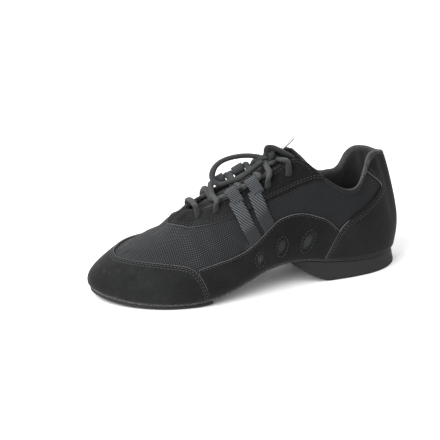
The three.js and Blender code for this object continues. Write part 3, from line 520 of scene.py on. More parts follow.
def makeSuede(name, look):
    f = Finish(name, Roughness=0.92, Sheen_Weight=0.08, Sheen_Roughness=0.45, Specular_IOR_Level=0.12)
    nap = f.noise(62, 4, 0.62)
    brushed = f.range(f.noise(17, 3, 0.55), 0.36, 0.66)
    fibre = f.noise(1500, 3, 0.7)
    speck = f.range(fibre, 0.62, 0.78)
    grain = f.noise(560, 2, 0.6)
    base = f.shades(f.range(nap * 0.35 + brushed * 0.25 + grain * 0.4, 0.32, 0.68), look)
    base = f.mix(speck * 0.55, base, grey(look["speck"], look["tint"]))
    tip = f.range(f.split(), 0.155, 0.215)
    worn = f.range(f.noise(130, 5, 0.72), 0.55, 0.74) * tip
    base = f.mix(worn * 0.5, base, grey(look["speck"] * 1.5, look["tint"]))
    # painted light: the suede is darker toward the heel and lighter toward the toe
    f.set("Base Color", f.scaled(base, 0.80 + f.litTowardToe() * 0.20))
    f.set("Roughness", f.range(nap, 0.3, 0.7, 0.86, 0.97))
    f.bump(fibre * 0.6 + f.noise(420, 3, 0.6) * 0.9, 0.00042, 0.55)
    return f.material


rawLook = {"dark": 0.050, "light": 0.130}


def makeRawEdge(name, look):
    f = Finish(name, Roughness=0.95, Specular_IOR_Level=0.15)
    fuzz = f.noise(2300, 3, 0.7)
    f.set("Base Color", f.shades(f.range(fuzz, 0.35, 0.65), look))
    f.bump(fuzz, 0.0002, 0.6)
    return f.material


clothLook = {
    "pitch": 1.12,
    "gap": 0.0008,
    "thread": 0.0105,
    "glint": 0.080,
    "tint": (0.93, 1.0, 1.10),
}


def makeMeshCloth(name, look):
    f = Finish(name, Roughness=0.85, Specular_IOR_Level=0.15, Sheen_Weight=0.06, Sheen_Roughness=0.5)
    u, v = f.flat("Cloth")
    turn = 1 / (2**0.5 * look["pitch"])
    a = (u + v) * turn
    b = (u - v) * turn
    fa = a.maths("FRACT", a)
    fb = b.maths("FRACT", b)
    cells = a.maths("FLOOR", a) + b.maths("FLOOR", b)
    over = cells.maths("FLOORED_MODULO", cells, 2.0)  # 1 where the warp lies on top
    roundA = 1 - (fa - 0.5) * (fa - 0.5) * 4
    roundB = 1 - (fb - 0.5) * (fb - 0.5) * 4
    warp = roundA * (0.55 + roundB * 0.45)
    weft = roundB * (0.55 + roundA * 0.45)
    height = warp * over + weft * (1 - over)
    # painted light: the cloth is lighter toward the toe and darker toward the heel, mixed with a random
    # mottle
    front = f.litTowardToe()
    wearAndToeLight = f.range(f.noise(36, 3, 0.6), 0.3, 0.7, 0.86, 1.14) * (0.86 + front * 0.14)
    # painted highlight: bright glints on the top threads, stronger toward the toe
    glint = f.range(height, 0.60, 0.95) * (0.06 + over * (0.13 + front * 0.72))
    shade = f.shades(f.range(height, 0.34, 0.82), look, "gap", "thread")
    shade = f.mix(glint, shade, grey(look["glint"], look["tint"]))
    x = f.split()
    # painted light: the cloth seen through the arch vents is brightened, lifting the shade of the recesses
    low = f.range(x.other(2), 0.040, 0.046, 1, 0)
    ventRecessLight = low * f.range(x, 0.045, 0.050) * f.range(x, 0.104, 0.110, 1, 0)
    f.set("Base Color", f.scaled(shade, wearAndToeLight * (1 + ventRecessLight * 2.6)))
    f.set("Roughness", f.range(height, 0.0, 1.0, 0.95, 0.72))
    f.bump(height + f.noise(3000, 2, 0.5) * 0.2, 0.00032, 0.7)
    return f.material


liningLook = {"dark": 0.0035, "light": 0.018, "knit": 1.4}


def makeLining(name, look, gain=1.0):
    f = Finish(name, Roughness=0.93, Sheen_Weight=0.18, Sheen_Roughness=0.5, Specular_IOR_Level=0.2)
    u, v = f.flat("Cloth")
    k = 2 * pi / look["knit"]
    knit = f.wave(u * k + f.wave(v * k) * 1.3) * f.wave(v * k)
    soft = f.range(f.noise(120, 4, 0.6), 0.3, 0.7)
    f.set("Base Color", f.shades(soft * 0.35 + f.range(knit, 0.1, 0.7) * 0.65, look, gain=gain))
    f.bump(knit + f.noise(1800, 2, 0.5) * 0.4, 0.0004, 0.8)
    return f.material


bandLook = {"dark": 0.004, "light": 0.050, "tint": (0.98, 1.0, 1.02)}


def makeBand(name, look):
    f = Finish(name, Roughness=0.95, Sheen_Weight=0.06, Specular_IOR_Level=0.15)
    tufts = f.noise(760, 3, 0.65)
    f.set("Base Color", f.shades(f.range(tufts, 0.38, 0.66), look))
    f.bump(tufts, 0.0008, 0.8)
    return f.material


rubberLook = {"dark": 0.0085, "light": 0.0150, "tint": (0.98, 1.0, 1.02)}


def makeRubber(name, look):
    f = Finish(name, Roughness=0.72, Specular_IOR_Level=0.35)
    cloud = f.noise(48, 3, 0.55)
    fine = f.noise(1700, 2, 0.6)
    base = f.shades(f.range(cloud, 0.3, 0.7), look)
    # painted light: the rubber is darker toward the heel and lighter toward the toe
    f.set("Base Color", f.scaled(base, 0.72 + f.litTowardToe() * 0.28))
    f.set("Roughness", f.range(fine + cloud, 0.6, 1.4, 0.60, 0.84))
    f.bump(fine, 0.0002, 0.5)
    return f.material


boardLook = {"dark": 0.010, "light": 0.110, "from": 0.020, "to": 0.120}


def makeBoard(name, look):
    f = Finish(name, Roughness=0.8, Specular_IOR_Level=0.25)
    # painted light: the edge's stipple is bright toward the toe and faint toward the heel
    front = f.range(f.split(), look["from"], look["to"], 0.12, 1.0)
    stipple = f.noise(1100, 3, 0.7)
    f.set("Base Color", f.shades(f.range(stipple, 0.42, 0.60) * front, look))
    f.bump(stipple, 0.0003, 0.8)
    return f.material


def makeTread(name, look):
    f = Finish(name, Roughness=0.78, Specular_IOR_Level=0.3)
    u, v = f.flat("Cloth")
    k = 2 * pi / 1.6
    squares = f.wave(u * k) * f.wave(v * k)
    raised = f.range(squares, 0.12, 0.42)
    f.set("Base Color", f.mix(raised, grey(look["dark"] * 0.8), grey(look["light"] * 1.25)))
    f.bump(raised, 0.0004, 0.8)
    return f.material


webbingLook = {"dark": 0.0035, "light": 0.096, "pitch": 1.55, "tint": (0.89, 1.0, 1.07)}


def makeWebbing(name, look):
    f = Finish(name, Roughness=0.7, Specular_IOR_Level=0.25, Sheen_Weight=0.06, Sheen_Roughness=0.5)
    u, v = f.flat("Cloth")
    rib = f.wave((u * 0.90 - v * 0.43) * (2 * pi / look["pitch"]))
    cross = f.wave((u * 0.43 + v * 0.90) * (2 * pi / 2.1))
    # painted light: the upper part of each strap shows bright lit ribs, the lower part a flat darker shade
    upper = f.range(v, 12, 17)
    plain = 0.07 + rib * 0.06
    litRibs = f.range(rib, 0.10, 1.0, 0.06, 0.86) * (0.66 + cross * 0.34)
    f.set("Base Color", f.shades(plain + (litRibs - plain) * upper, look))
    f.set("Roughness", f.range(rib, 0.0, 1.0, 0.9, 0.62))
    f.bump(rib + cross * 0.25, 0.00035, 0.8)
    return f.material


laceLook = {"dark": 0.004, "light": 0.060, "tint": (0.94, 1.0, 1.03)}


def makeLace(name, look, gain=1.0):
    f = Finish(name, Roughness=0.75, Specular_IOR_Level=0.25, Sheen_Weight=0.06, Sheen_Roughness=0.5)
    u, v = f.flat("Cloth")
    one = f.wave((u / 1.5 + v * 7) * (2 * pi))
    two = f.wave((u / 1.5 - v * 7) * (2 * pi))
    braid = one.maths("MAXIMUM", one, two)
    fuzz = f.noise(2400, 3, 0.6)
    # painted shade: the cord is darker on its under side and lighter on its outer side
    outer = f.wave(v * (2 * pi)) ** 1.7 * 0.88 + 0.12
    f.set("Base Color", f.shades(f.range(braid, 0.40, 0.98) * (0.7 + fuzz * 0.5) * outer, look, gain=gain))
    f.bump(braid + fuzz * 0.25, 0.0004, 0.75)
    return f.material


def makePlain(name, value, roughness):
    f = Finish(name, Roughness=roughness)
    mottle = f.noise(900, 2, 0.6)
    f.set("Base Color", f.mix(mottle, grey(value * 0.7), grey(value * 1.3)))
    f.bump(mottle, 0.0001, 0.3)
    return f.material


def makeClearTip(name):
    f = Finish(name, Roughness=0.2, Coat_Weight=0.5, Coat_Roughness=0.1)
    # painted highlight: bright lines along the clear tip
    lines = f.wave(f.flat("Cloth")[1] * (6 * pi))  # bright lines along the tip
    f.set("Base Color", f.mix(f.range(lines, 0.45, 0.8), grey(0.05), grey(0.55)))
    f.bump(f.noise(700, 2, 0.5), 0.0001, 0.3)
    return f.material


finishes = {
    "suede": makeSuede("suede", suedeLook),
    "raw": makeRawEdge("raw_edge", rawLook),
    "mesh": makeMeshCloth("mesh_cloth", clothLook),
    "lining": makeLining("lining_knit", liningLook),
    "band": makeBand("collar_band", bandLook),
    "tongue": makeLining("tongue_cloth", liningLook, 1.15),
    "rubber": makeRubber("rubber", rubberLook),
    "board": makeBoard("midsole_edge", boardLook),
    "cover": makePlain("arch_cover", 0.007, 0.5),
    "tread": makeTread("tread", rubberLook),
    "webbing": makeWebbing("webbing", webbingLook),
    # painted light: strands and bow are one lace, given a lighter copy and a darker copy of its colour
    "lace": makeLace("lace_braid_lit", laceLook, 1.12),
    "bow": makeLace("bow_braid_shaded", laceLook, 0.68),
    "thread": makePlain("thread", 0.034, 0.6),
    "softThread": makePlain("soft_thread", 0.014, 0.6),
    "faintThread": makePlain("faint_thread", 0.015, 0.6),
    "aglet": makeClearTip("clear_tip"),
}
print("sneaker: finishes made")


# Meshes
def newMesh(name, points, faces, looks):
    mesh = bpy.data.meshes.new(name)
    mesh.from_pydata((np.asarray(points) * mm).tolist(), [], [tuple(f) for f in faces])
    for look in looks:
        mesh.materials.append(finishes[look])
    return mesh


def turnOutward(mesh, merge=0.0, closed=True):
    work = bmesh.new()
    work.from_mesh(mesh)
    if merge:
        bmesh.ops.remove_doubles(work, verts=work.verts, dist=merge * mm)
        bmesh.ops.dissolve_degenerate(work, edges=work.edges, dist=1e-7)
    if closed:
        bmesh.ops.recalc_face_normals(work, faces=work.faces)
    work.to_mesh(mesh)
    work.free()


def meshPiece(name, points, faces, looks, uvs=None, faceLooks=None, merge=0.004, nodes=(),
              closed=True):
    mesh = newMesh(name, points, faces, looks)
    if faceLooks is not None:
        mesh.polygons.foreach_set("material_index", np.asarray(faceLooks, np.int32))
    if uvs is not None:
        corners = np.zeros(len(mesh.loops), np.int32)
        mesh.loops.foreach_get("vertex_index", corners)
        layer = mesh.uv_layers.new(name="Cloth")
        layer.data.foreach_set("uv", np.asarray(uvs, np.float32)[corners].ravel())
    turnOutward(mesh, merge, closed)
    mesh.polygons.foreach_set("use_smooth", np.ones(len(mesh.polygons), bool))
    mesh.update()
    piece = putInScene(name, mesh)
    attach(piece, "root")
    if nodes:
        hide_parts(*nodes)
    return piece


def gridFaces(rows, columns, start=0, wrap=False, flip=False):
    r, c = np.meshgrid(np.arange(rows - 1), np.arange(columns if wrap else columns - 1), indexing="ij")
    n = (c + 1) % columns
    quads = np.stack([r * columns + c, r * columns + n, (r + 1) * columns + n, (r + 1) * columns + c], -1)
    quads = quads.reshape(-1, 4) + start
    return quads[:, ::-1] if flip else quads


# rings of a tube joined in order, with a cap at each end
def tubeFaces(rings, around, start=0):
    faces = [tuple(f) for f in gridFaces(rings, around, start, wrap=True)]
    faces.append(tuple(start + j for j in range(around - 1, -1, -1)))
    faces.append(tuple(start + (rings - 1) * around + j for j in range(around)))
    return faces


# closed shell between two grids of points, and which of its faces are edge
def slab(top, low):
    rows, columns = top.shape[:2]
    points = np.vstack([top.reshape(-1, 3), low.reshape(-1, 3)])
    under = rows * columns
    ring = [(0, c) for c in range(columns)] + [(r, columns - 1) for r in range(1, rows)]
    ring += [(rows - 1, c) for c in range(columns - 2, -1, -1)] + [(r, 0) for r in range(rows - 2, 0, -1)]
    index = np.array([r * columns + c for r, c in ring])
    after = np.roll(index, -1)
    walls = np.stack([index, index + under, after + under, after], -1)
    faces = np.vstack([gridFaces(rows, columns), gridFaces(rows, columns, under, flip=True), walls])
    edge = np.concatenate([np.zeros(len(faces) - len(walls), int), np.ones(len(walls), int)])
    return points, faces, edge


def trail(rows):
    dense = curveThrough(np.array(rows) * [last["wayStretch"], 1], 20, centripetal=False)
    s = lengthsAlong(dense)

    def at(u):
        u = np.asarray(u, float) * s[-1]
        way = np.interp(u, s, dense[:, 0]) / last["wayStretch"]
        return np.stack([way, np.interp(u, s, dense[:, 1])], -1)

    return at


def straight(a, b):
    a, b = np.array(a, float), np.array(b, float)
    return lambda u: a + (b - a) * np.asarray(u, float)[..., None]


def coons(low, high, start, end):
    zero, one = np.float64(0), np.float64(1)

    def at(u, w):
        u, w = together(u, w)
        p, q = u[..., None], w[..., None]
        edges = (1 - q) * low(u) + q * high(u) + (1 - p) * start(w) + p * end(w)
        corners = ((1 - p) * (1 - q) * low(zero) + p * (1 - q) * low(one)
                   + (1 - p) * q * high(zero) + p * q * high(one))
        return edges - corners

    return at


# places from 0 to total, close together at near (the start) and far (the end)
def spread(total, near, far, step):
    near = np.array(near, float)
    far = np.array(far, float)
    middle = np.linspace(0, 1, step + 2)[1:-1]
    scaleA = np.minimum(1, 0.45 * total / max(near[-1], 1e-6)) if near[-1] > 0 else np.ones_like(total)
    scaleB = np.minimum(1, 0.45 * total / max(far[-1], 1e-6)) if far[-1] > 0 else np.ones_like(total)
    a = near[:, None] * scaleA
    b = total - far[::-1][:, None] * scaleB
    between = a[-1] + (b[0] - a[-1]) * middle[:, None]
    return np.vstack([a, between, b])


# rows of points lie at these distances from a panel's edge, in mm
edgeSteps = [0, 0.12, 0.35, 0.7, 1.1, 1.45, 1.8, 2.15, 2.6, 3.1, 3.5, 3.9, 4.4, 5.1, 6.0, 7.2]


# way and height of a panel's points, and their distance in millimetres from its low and high edges
def overlayGrid(side, patch, columns, middle, lowSteps=(0,)):
    u = np.linspace(0, 1, columns)
    w = np.linspace(0, 1, 121)
    dense = patch(u[None, :], w[:, None])
    points = onLast(side, dense[..., 0], dense[..., 1], 1.0, soft=0)
    steps = np.linalg.norm(np.diff(points, axis=0), axis=2)
    s = np.vstack([np.zeros(columns), np.cumsum(steps, axis=0)])
    total = s[-1]
    places = spread(total, lowSteps, edgeSteps, middle)
    rows = np.stack([np.interp(places[:, c], s[:, c], w) for c in range(columns)], 1)
    grid = patch(np.broadcast_to(u, rows.shape), rows)
    return grid, places, total - places


overlay = {
    "low": 0.45,
    "thick": 1.2,
    "roll": 0.22,
    "stitchRows": (1.75, 3.5),
    "groove": 0.20,
    "capRaise": 0.15,
    "capThick": 1.5,
    "sink": 0.12,  # stitches lie this far in the suede
}
seamHeight = overlay["low"] + overlay["thick"] - overlay["sink"]


def panelHeights(distance, rows, low, thick, farDistance=None, farRows=()):
    height = np.full(distance.shape, low + thick)
    for d, lines in ((distance, rows), (farDistance, farRows)):
        if d is None:
            continue
        height -= overlay["roll"] * np.exp(-((d / 0.35) ** 2))
        for line in lines:
            height -= overlay["groove"] * np.exp(-(((d - line) / 0.5) ** 2))
    return height


def layPanel(side, grid, heights, low):
    way, up = grid[..., 0], grid[..., 1]
    top = onLast(side, way, up, heights)
    bottom = onLast(side, way, up, low)
    for face in (top, bottom):
        face[..., 2] = np.maximum(face[..., 2], featherEdge(face[..., 0] + last["heelBack"]))
    return top, bottom


# the line carried away millimetres to its left on the surface, in way and height
def besideLine(side, line, away):
    along = np.gradient(line, axis=0)
    h = 0.002
    at = lambda dw, du: onLast(side, line[:, 0] + dw, np.minimum(line[:, 1] + du, 1), 1.0, soft=0)
    dWay = (at(h, 0) - at(-h, 0)) / (2 * h)
    dUp = (at(0, h) - at(0, -h)) / (2 * h)
    e, f, g = (dWay * dWay).sum(1), (dWay * dUp).sum(1), (dUp * dUp).sum(1)
    gt = np.stack([e * along[:, 0] + f * along[:, 1], f * along[:, 0] + g * along[:, 1]], 1)
    across = np.stack([-gt[:, 1], gt[:, 0]], 1)
    size = np.sqrt(e * across[:, 0] ** 2 + 2 * f * across[:, 0] * across[:, 1] + g * across[:, 1] ** 2)
    return line + across / size[:, None] * away


stitch = {"length": 2.1, "gap": 0.75, "radius": 0.24}


# one mesh of short stitches along rows of surface points with their normals
def stitches(name, rows, look="thread"):
    length, gap, radius = stitch["length"], stitch["gap"], stitch["radius"]
    around = 6
    ring = np.linspace(0, 2 * pi, around, endpoint=False)
    profile = [(0.0, 0.25, -0.35), (0.16, 0.9, 0.0), (0.5, 1.0, 0.22), (0.84, 0.9, 0.0), (1.0, 0.25, -0.35)]
    points, faces = [], []
    for path, normals in rows:
        s = lengthsAlong(path)
        count = int(s[-1] / (length + gap))
        for start in np.arange(count) * (s[-1] / max(count, 1)) + gap / 2:
            base = len(points) * around
            for t, size, lift in profile:
                at = start + t * length
                p = np.array([np.interp(at, s, path[:, k]) for k in range(3)])
                q = np.array([np.interp(at + 0.05, s, path[:, k]) for k in range(3)])
                n = np.array([np.interp(at, s, normals[:, k]) for k in range(3)])
                n /= np.linalg.norm(n)
                b = np.cross(q - p, n)
                b /= np.linalg.norm(b) + 1e-12
                spokes = np.cos(ring)[:, None] * b + np.sin(ring)[:, None] * n
                points.append((p + n * lift * radius * 2)[None] + radius * size * spokes)
            faces += tubeFaces(len(profile), around, base)
    return meshPiece(name, np.vstack(points), faces, [look], merge=0, closed=False)


# surface points and normals of a seam that runs beside an edge
def seamRow(side, line, away, height, part=(0.0, 1.0)):
    beside = besideLine(side, line, away)
    count = len(beside)
    beside = beside[int(part[0] * count):max(int(part[1] * count), 2)]
    way, up = beside[:, 0], np.clip(beside[:, 1], 0.0, 1.0)
    base = onLast(side, way, up, height)
    return base, onLast(side, way, up, height + 1) - base


# Woven shell
shell = {"columns": 170, "rows": 52, "inside": 22, "crest": 0.5}


# columns of both sides in one row, outer side first, meeting at the toe or at the heel
def sides(ways, meet="toe"):
    ordered = ways if meet == "toe" else ways[::-1]
    way = np.concatenate([ordered, ordered[::-1][1:]])
    side = np.concatenate([np.ones(len(ordered)), -np.ones(len(ordered) - 1)])
    return side, way


def makeShell():
    ways = np.linspace(0, 1, shell["columns"])
    side, way = sides(ways)
    side, way = side[:-1], way[:-1]
    rim = rimUp(way, side)
    out = np.linspace(0, 1, shell["rows"])[:, None] ** 0.92
    back = np.linspace(1, 0, shell["inside"])[:, None]
    up = np.vstack([out * rim, np.broadcast_to(rim, (1, len(way))), back * rim])
    wall = last["wall"]
    isOpen = rim < 0.999
    offset = np.vstack([np.zeros((shell["rows"], len(way))), np.full((1, len(way)), -wall / 2),
                        np.full((shell["inside"], len(way)), -wall)])
    points = onLast(side, way, up, offset)
    crest = onLast(side, way, heightAbove(side, way, rim, shell["crest"]), -wall / 2)
    points[shell["rows"]] = np.where(isOpen[:, None], crest, points[shell["rows"]])
    foot = points[-1].copy()
    foot[:, 2] = featherEdge(foot[:, 0] + last["heelBack"])
    points = np.concatenate([points, foot[None]])
    up = np.vstack([up, np.zeros((1, len(way)))])
    uvs = chart(np.broadcast_to(side, up.shape), np.broadcast_to(way, up.shape), up)
    rows, columns = up.shape
    faces = gridFaces(rows, columns, wrap=True)
    around = np.arange(columns)
    after = (around + 1) % columns
    lowest = (rows - 1) * columns
    bottom = np.stack([lowest + around, lowest + after, after, around], -1)
    faceRow = np.repeat(np.arange(rows - 1), columns)
    looks = np.concatenate([(faceRow >= shell["rows"]).astype(int), np.zeros(columns, int)])
    return meshPiece("woven_shell", points.reshape(-1, 3), np.vstack([faces, bottom]), ["mesh", "lining"],
                     uvs.reshape(-1, 2), looks, nodes=["upper"])


makeShell()
print("sneaker: woven shell made")

# Suede overlays: way and height of each edge
capEdge = [
    (0.650, 0.000), (0.657, 0.090), (0.665, 0.180), (0.675, 0.258), (0.692, 0.342), (0.722, 0.418),
    (0.770, 0.500), (0.845, 0.562), (0.920, 0.612), (1.000, 0.640),
]
mudEdge = [
    (0.258, 0.152), (0.278, 0.186), (0.300, 0.215), (0.330, 0.254), (0.358, 0.290), (0.385, 0.314),
    (0.412, 0.328), (0.436, 0.333), (0.460, 0.316), (0.484, 0.295), (0.510, 0.276), (0.540, 0.269),
    (0.580, 0.279), (0.620, 0.298), (0.655, 0.309), (0.684, 0.318),
]
counterEdge = [
    (0.302, 0.000), (0.289, 0.055), (0.276, 0.102), (0.262, 0.142), (0.240, 0.176), (0.205, 0.200),
    (0.170, 0.238), (0.142, 0.280), (0.121, 0.325), (0.119, 0.358), (0.140, 0.388), (0.158, 0.408),
    (0.176, 0.432),
]
stayEdge = [
    (0.300, 0.440), (0.325, 0.466), (0.367, 0.480), (0.410, 0.490), (0.453, 0.513), (0.495, 0.534),
    (0.542, 0.550), (0.580, 0.588), (0.618, 0.634), (0.650, 0.693), (0.677, 0.775), (0.697, 0.870),
    (0.708, 0.960), (0.710, 1.000),
]
seamGap = 0.45
seamWay = seamGap / (last["length"] * last["wayLength"])
seamUp = seamGap / last["instep"]


# the two last rows of faces (and the first two) show the cut edge
def rawLine(edge, rows, columns, fromStart=False):
    for r in [rows - 2, rows - 3] + ([0, 1] if fromStart else []):
        edge[r * (columns - 1):(r + 1) * (columns - 1)] = 1


# parts are a side, grid and edge distances each; parts of both sides are joined column by column
def suedePanel(name, parts, node, low, thick, rows, farRows=None, pale=True):
    tops, bottoms = [], []
    for side, (grid, fromLow, fromHigh) in parts:
        far = fromLow if farRows is not None else None
        heights = panelHeights(fromHigh, rows, low, thick, far, farRows or ())
        top, bottom = layPanel(side, grid, heights, low)
        tops.append(top)
        bottoms.append(bottom)
    if len(parts) == 2:
        tops[1] = tops[1][:, ::-1][:, 1:]
        bottoms[1] = bottoms[1][:, ::-1][:, 1:]
    top = np.concatenate(tops, 1)
    points, faces, edge = slab(top, np.concatenate(bottoms, 1))
    if pale:
        rawLine(edge, top.shape[0], top.shape[1])
    return meshPiece(name, points, faces, ["suede", "raw"], None, edge, merge=0.002,
                     nodes=[node])


def makeCap():
    high = trail(capEdge)
    foot, ridge = capEdge[0][0], capEdge[-1][1]
    patch = coons(straight((foot, 0), (1, 0)), high, straight((foot, 0), (foot, 0)),
                  straight((1, 0), (1, ridge)))
    low = overlay["low"] + overlay["capRaise"]
    parts = [(s, overlayGrid(s, patch, 96, middle=22)) for s in (1, -1)]
    suedePanel("suede_toe_cap", parts, "toe_cap", low, overlay["capThick"], overlay["stitchRows"])
    line = high(np.linspace(0, 1, 240))
    top = low + overlay["capThick"] - overlay["sink"]
    rows = [seamRow(s, line, -d, top) for s in (1, -1) for d in overlay["stitchRows"]]
    stitches("toe_cap_stitches", rows)


def makeCounter():
    tab = counterEdge[-1]
    tabStart = 0.28
    drop = 2.6 / 95

    def frontEdge(side):
        rows = []
        for way, up in counterEdge:
            follow = max((up - tabStart) / (tab[1] - tabStart), 0)
            rows.append((way, up - float(innerDrop(side, way)) * follow))
        return rows

    def patchOf(side):
        edge = frontEdge(side)
        back = float(rimUp(0.0, side)) - drop

        def rimEdge(u):
            way = tab[0] * np.asarray(u, float)
            reach = (edge[-1][1] - rimUp(tab[0], side) + drop) * np.asarray(u, float) ** 6
            return np.stack([way, rimUp(way, side) - drop + reach], -1)

        return coons(straight((0, 0), (0, back)), trail(edge), straight((0, 0), (edge[0][0], 0)), rimEdge)

    tops, bottoms = [], []
    for side in (1, -1):
        grid, _, fromHigh = overlayGrid(side, patchOf(side), 74, middle=26)
        heights = panelHeights(fromHigh, overlay["stitchRows"], overlay["low"], overlay["thick"])
        top, bottom = layPanel(side, grid, heights, overlay["low"])
        tops.append(top)
        bottoms.append(bottom)
    top = np.concatenate([tops[0][::-1], tops[1][1:]], 0)
    bottom = np.concatenate([bottoms[0][::-1], bottoms[1][1:]], 0)
    points, faces, edgeFaces = slab(top, bottom)
    rawLine(edgeFaces, top.shape[0], top.shape[1], True)
    meshPiece("suede_heel_counter", points, faces, ["suede", "raw"], None, edgeFaces, merge=0.002,
              nodes=["heel_counter"])
    rows = []
    for side in (1, -1):
        line = trail(frontEdge(side))(np.linspace(0, 1, 200))
        rows += [seamRow(side, line, d, seamHeight, (0.0, 0.98)) for d in overlay["stitchRows"]]
    stitches("counter_stitches", rows, "faintThread")


# plain oval openings at the arch: way, height, half length and half width in mm, lean in degrees
vents = {
    "places": [(0.502, 0.145, 4.6, 2.7, 62), (0.434, 0.150, 6.6, 3.3, 62), (0.357, 0.125, 8.4, 3.6, 58)],
    "seam": 1.7,
}


def ovalOnLast(side, place, grow, count=40):
    way, up, long, wide, lean = place
    centre = onLast(side, way, up, 1.0, soft=0)
    alongWay = onLast(side, way + 0.004, up, 1.0, soft=0) - centre
    alongWay /= np.linalg.norm(alongWay)
    alongUp = onLast(side, way, up + 0.01, 1.0, soft=0) - centre
    alongUp -= alongWay * (alongUp @ alongWay)
    alongUp /= np.linalg.norm(alongUp)
    out = np.cross(alongWay, alongUp) * side
    if out[1] * side < 0:
        out = -out
    turn = np.linspace(0, 2 * pi, count, endpoint=False)
    a, b = (long + grow) * np.cos(turn), (wide + grow) * np.sin(turn)
    t = radians(lean)
    flat = np.outer(a * cos(t) - b * sin(t), -alongWay) + np.outer(a * sin(t) + b * cos(t), alongUp)
    return centre, flat, out


def cutHoles(piece, cutters):
    modifier = piece.modifiers.new("cut", "BOOLEAN")
    modifier.operation = "DIFFERENCE"
    modifier.solver = "EXACT"
    modifier.object = cutters
    bpy.context.view_layer.update()
    cut = bpy.data.meshes.new_from_object(piece.evaluated_get(bpy.context.evaluated_depsgraph_get()))
    piece.modifiers.clear()
    piece.data = cut
    bpy.data.objects.remove(cutters)


# prisms through the surface: outlines hold a centre, a flat ring about it and the way out
def plug(outlines, depth):
    points, faces = [], []
    for centre, flat, out in outlines:
        n = len(flat)
        base = sum(len(p) for p in points)
        points.append(centre + flat + out * depth)
        points.append(centre + flat - out * depth)
        faces.append(tuple(range(base, base + n)))
        faces.append(tuple(range(base + 2 * n - 1, base + n - 1, -1)))
        faces += [(base + k, base + n + k, base + n + (k + 1) % n, base + (k + 1) % n) for k in range(n)]
    mesh = newMesh("cutter", np.vstack(points), faces, ["suede"])
    turnOutward(mesh)
    return putInScene("cutter", mesh)


def makeMudguards():
    corner = (0.6755 - seamWay, 0.312)
    capPart = [(w - seamWay, u) for w, u in capEdge if u < 0.26] + [corner]
    counterPart = [(w + seamWay, u) for w, u in counterEdge if u < 0.15]
    top = [counterPart[-1]] + [row for row in mudEdge if 0.29 < row[0] < 0.67] + [corner]
    high = trail(top)
    start, end = (counterEdge[0][0] + seamWay, 0), (capEdge[0][0] - seamWay, 0)
    patch = coons(straight(start, end), high, trail(counterPart), trail(capPart))
    seam = 1.6
    for side, name in ((1, "outer"), (-1, "inner")):
        parts = [(side, overlayGrid(side, patch, 130, middle=20))]
        panel = suedePanel(f"suede_mudguard_{name}", parts, f"mudguard_{name}", overlay["low"],
                           overlay["thick"], (seam,))
        rows = [seamRow(side, high(np.linspace(0, 1, 240)), -seam, seamHeight, (0.02, 0.99))]
        if side > 0:
            ovals = [ovalOnLast(side, place, 0) for place in vents["places"]]
            cutHoles(panel, plug(ovals, 3.2))
            for place in vents["places"]:
                centre, flat, out = ovalOnLast(side, place, vents["seam"], 60)
                ring = centre + np.vstack([flat, flat[:1]])
                rows.append((ring + out * 0.62, np.broadcast_to(out, (61, 3))))
        stitches(f"mudguard_stitches_{name}", rows, "faintThread")


eyelets = {
    "first": (0.640, 0.785),
    "second": (0.595, 0.715),
    "third": (0.453, 0.618),
    "fourth": (0.393, 0.600),
    "radius": 2.75,
}


def makeStay():
    high = trail([row for row in rimRows if row[0] > 0.305])
    lowEdge = trail(stayEdge)

    def patch(u, w):
        u, w = together(u, w)
        outer, rim = lowEdge(u), high(u)
        innerUp = np.minimum(rim[..., 1] - seamUp * (1 - u), 1)
        inner = np.stack([rim[..., 0] + seamWay * 2 * u, innerUp], -1)
        return inner + (outer - inner) * w[..., None]

    parts = [(s, overlayGrid(s, patch, 150, lowSteps=edgeSteps[:11], middle=10)) for s in (1, -1)]
    panel = suedePanel("suede_eyestay", parts, "eyestay", overlay["low"], overlay["thick"],
                       overlay["stitchRows"], farRows=(1.75,), pale=False)
    rings = []
    for s in (1, -1):
        for eye in ("first", "second", "third", "fourth"):
            way, up = eyelets[eye]
            rings.append(ovalOnLast(s, (way, up, eyelets["radius"], eyelets["radius"], 0), 0, 20))
    cutHoles(panel, plug(rings, 3.4))
    u = np.linspace(0, 1, 260)
    rows = []
    for s in (1, -1):
        rows += [seamRow(s, lowEdge(u), d, seamHeight, (0.01, 0.97)) for d in overlay["stitchRows"]]
    rows += [seamRow(s, high(u), -2.2, seamHeight, (0.02, 0.97)) for s in (1, -1)]
    stitches("eyestay_stitches", rows, "softThread")


makeCap()
makeCounter()
makeMudguards()
makeStay()
print("sneaker: suede overlays made")

# Webbing straps with a loop at the throat
webbing = {
    "width": 9.9,
    "thick": 1.2,
    "bore": 5.2,
    "loop": 9.5,
    "rows": [(0.28, 0.5065, 0.4600), (0.45, 0.526, 0.479), (0.60, 0.539, 0.490), (0.75, 0.550, 0.496)],
    "tops": {"front": 0.742, "rear": 0.712},
    "columns": {"front": 1, "rear": 2},
    "across": 9,
    "over": 0.55,       # gap over the suede
    "wayLength": 1.152,  # one share of way, in lengths
}
strapOver = overlay["low"] + overlay["thick"] + webbing["over"]
strapHalf = webbing["width"] / 2 / (last["length"] * webbing["wayLength"])
strapLoops = {}


def strapRing(side, which):
    top = webbing["tops"][which]
    centre = float(smooth(webbing["rows"], webbing["columns"][which], top))
    lift = strapOver + webbing["thick"] - 0.2 + webbing["bore"] / 2
    ways = (centre, centre + strapHalf, centre - strapHalf)
    middle, toe, heel = [onLast(side, way, top + 0.03, lift, soft=0) for way in ways]
    direction = (toe - heel) / np.linalg.norm(toe - heel)
    return middle, direction


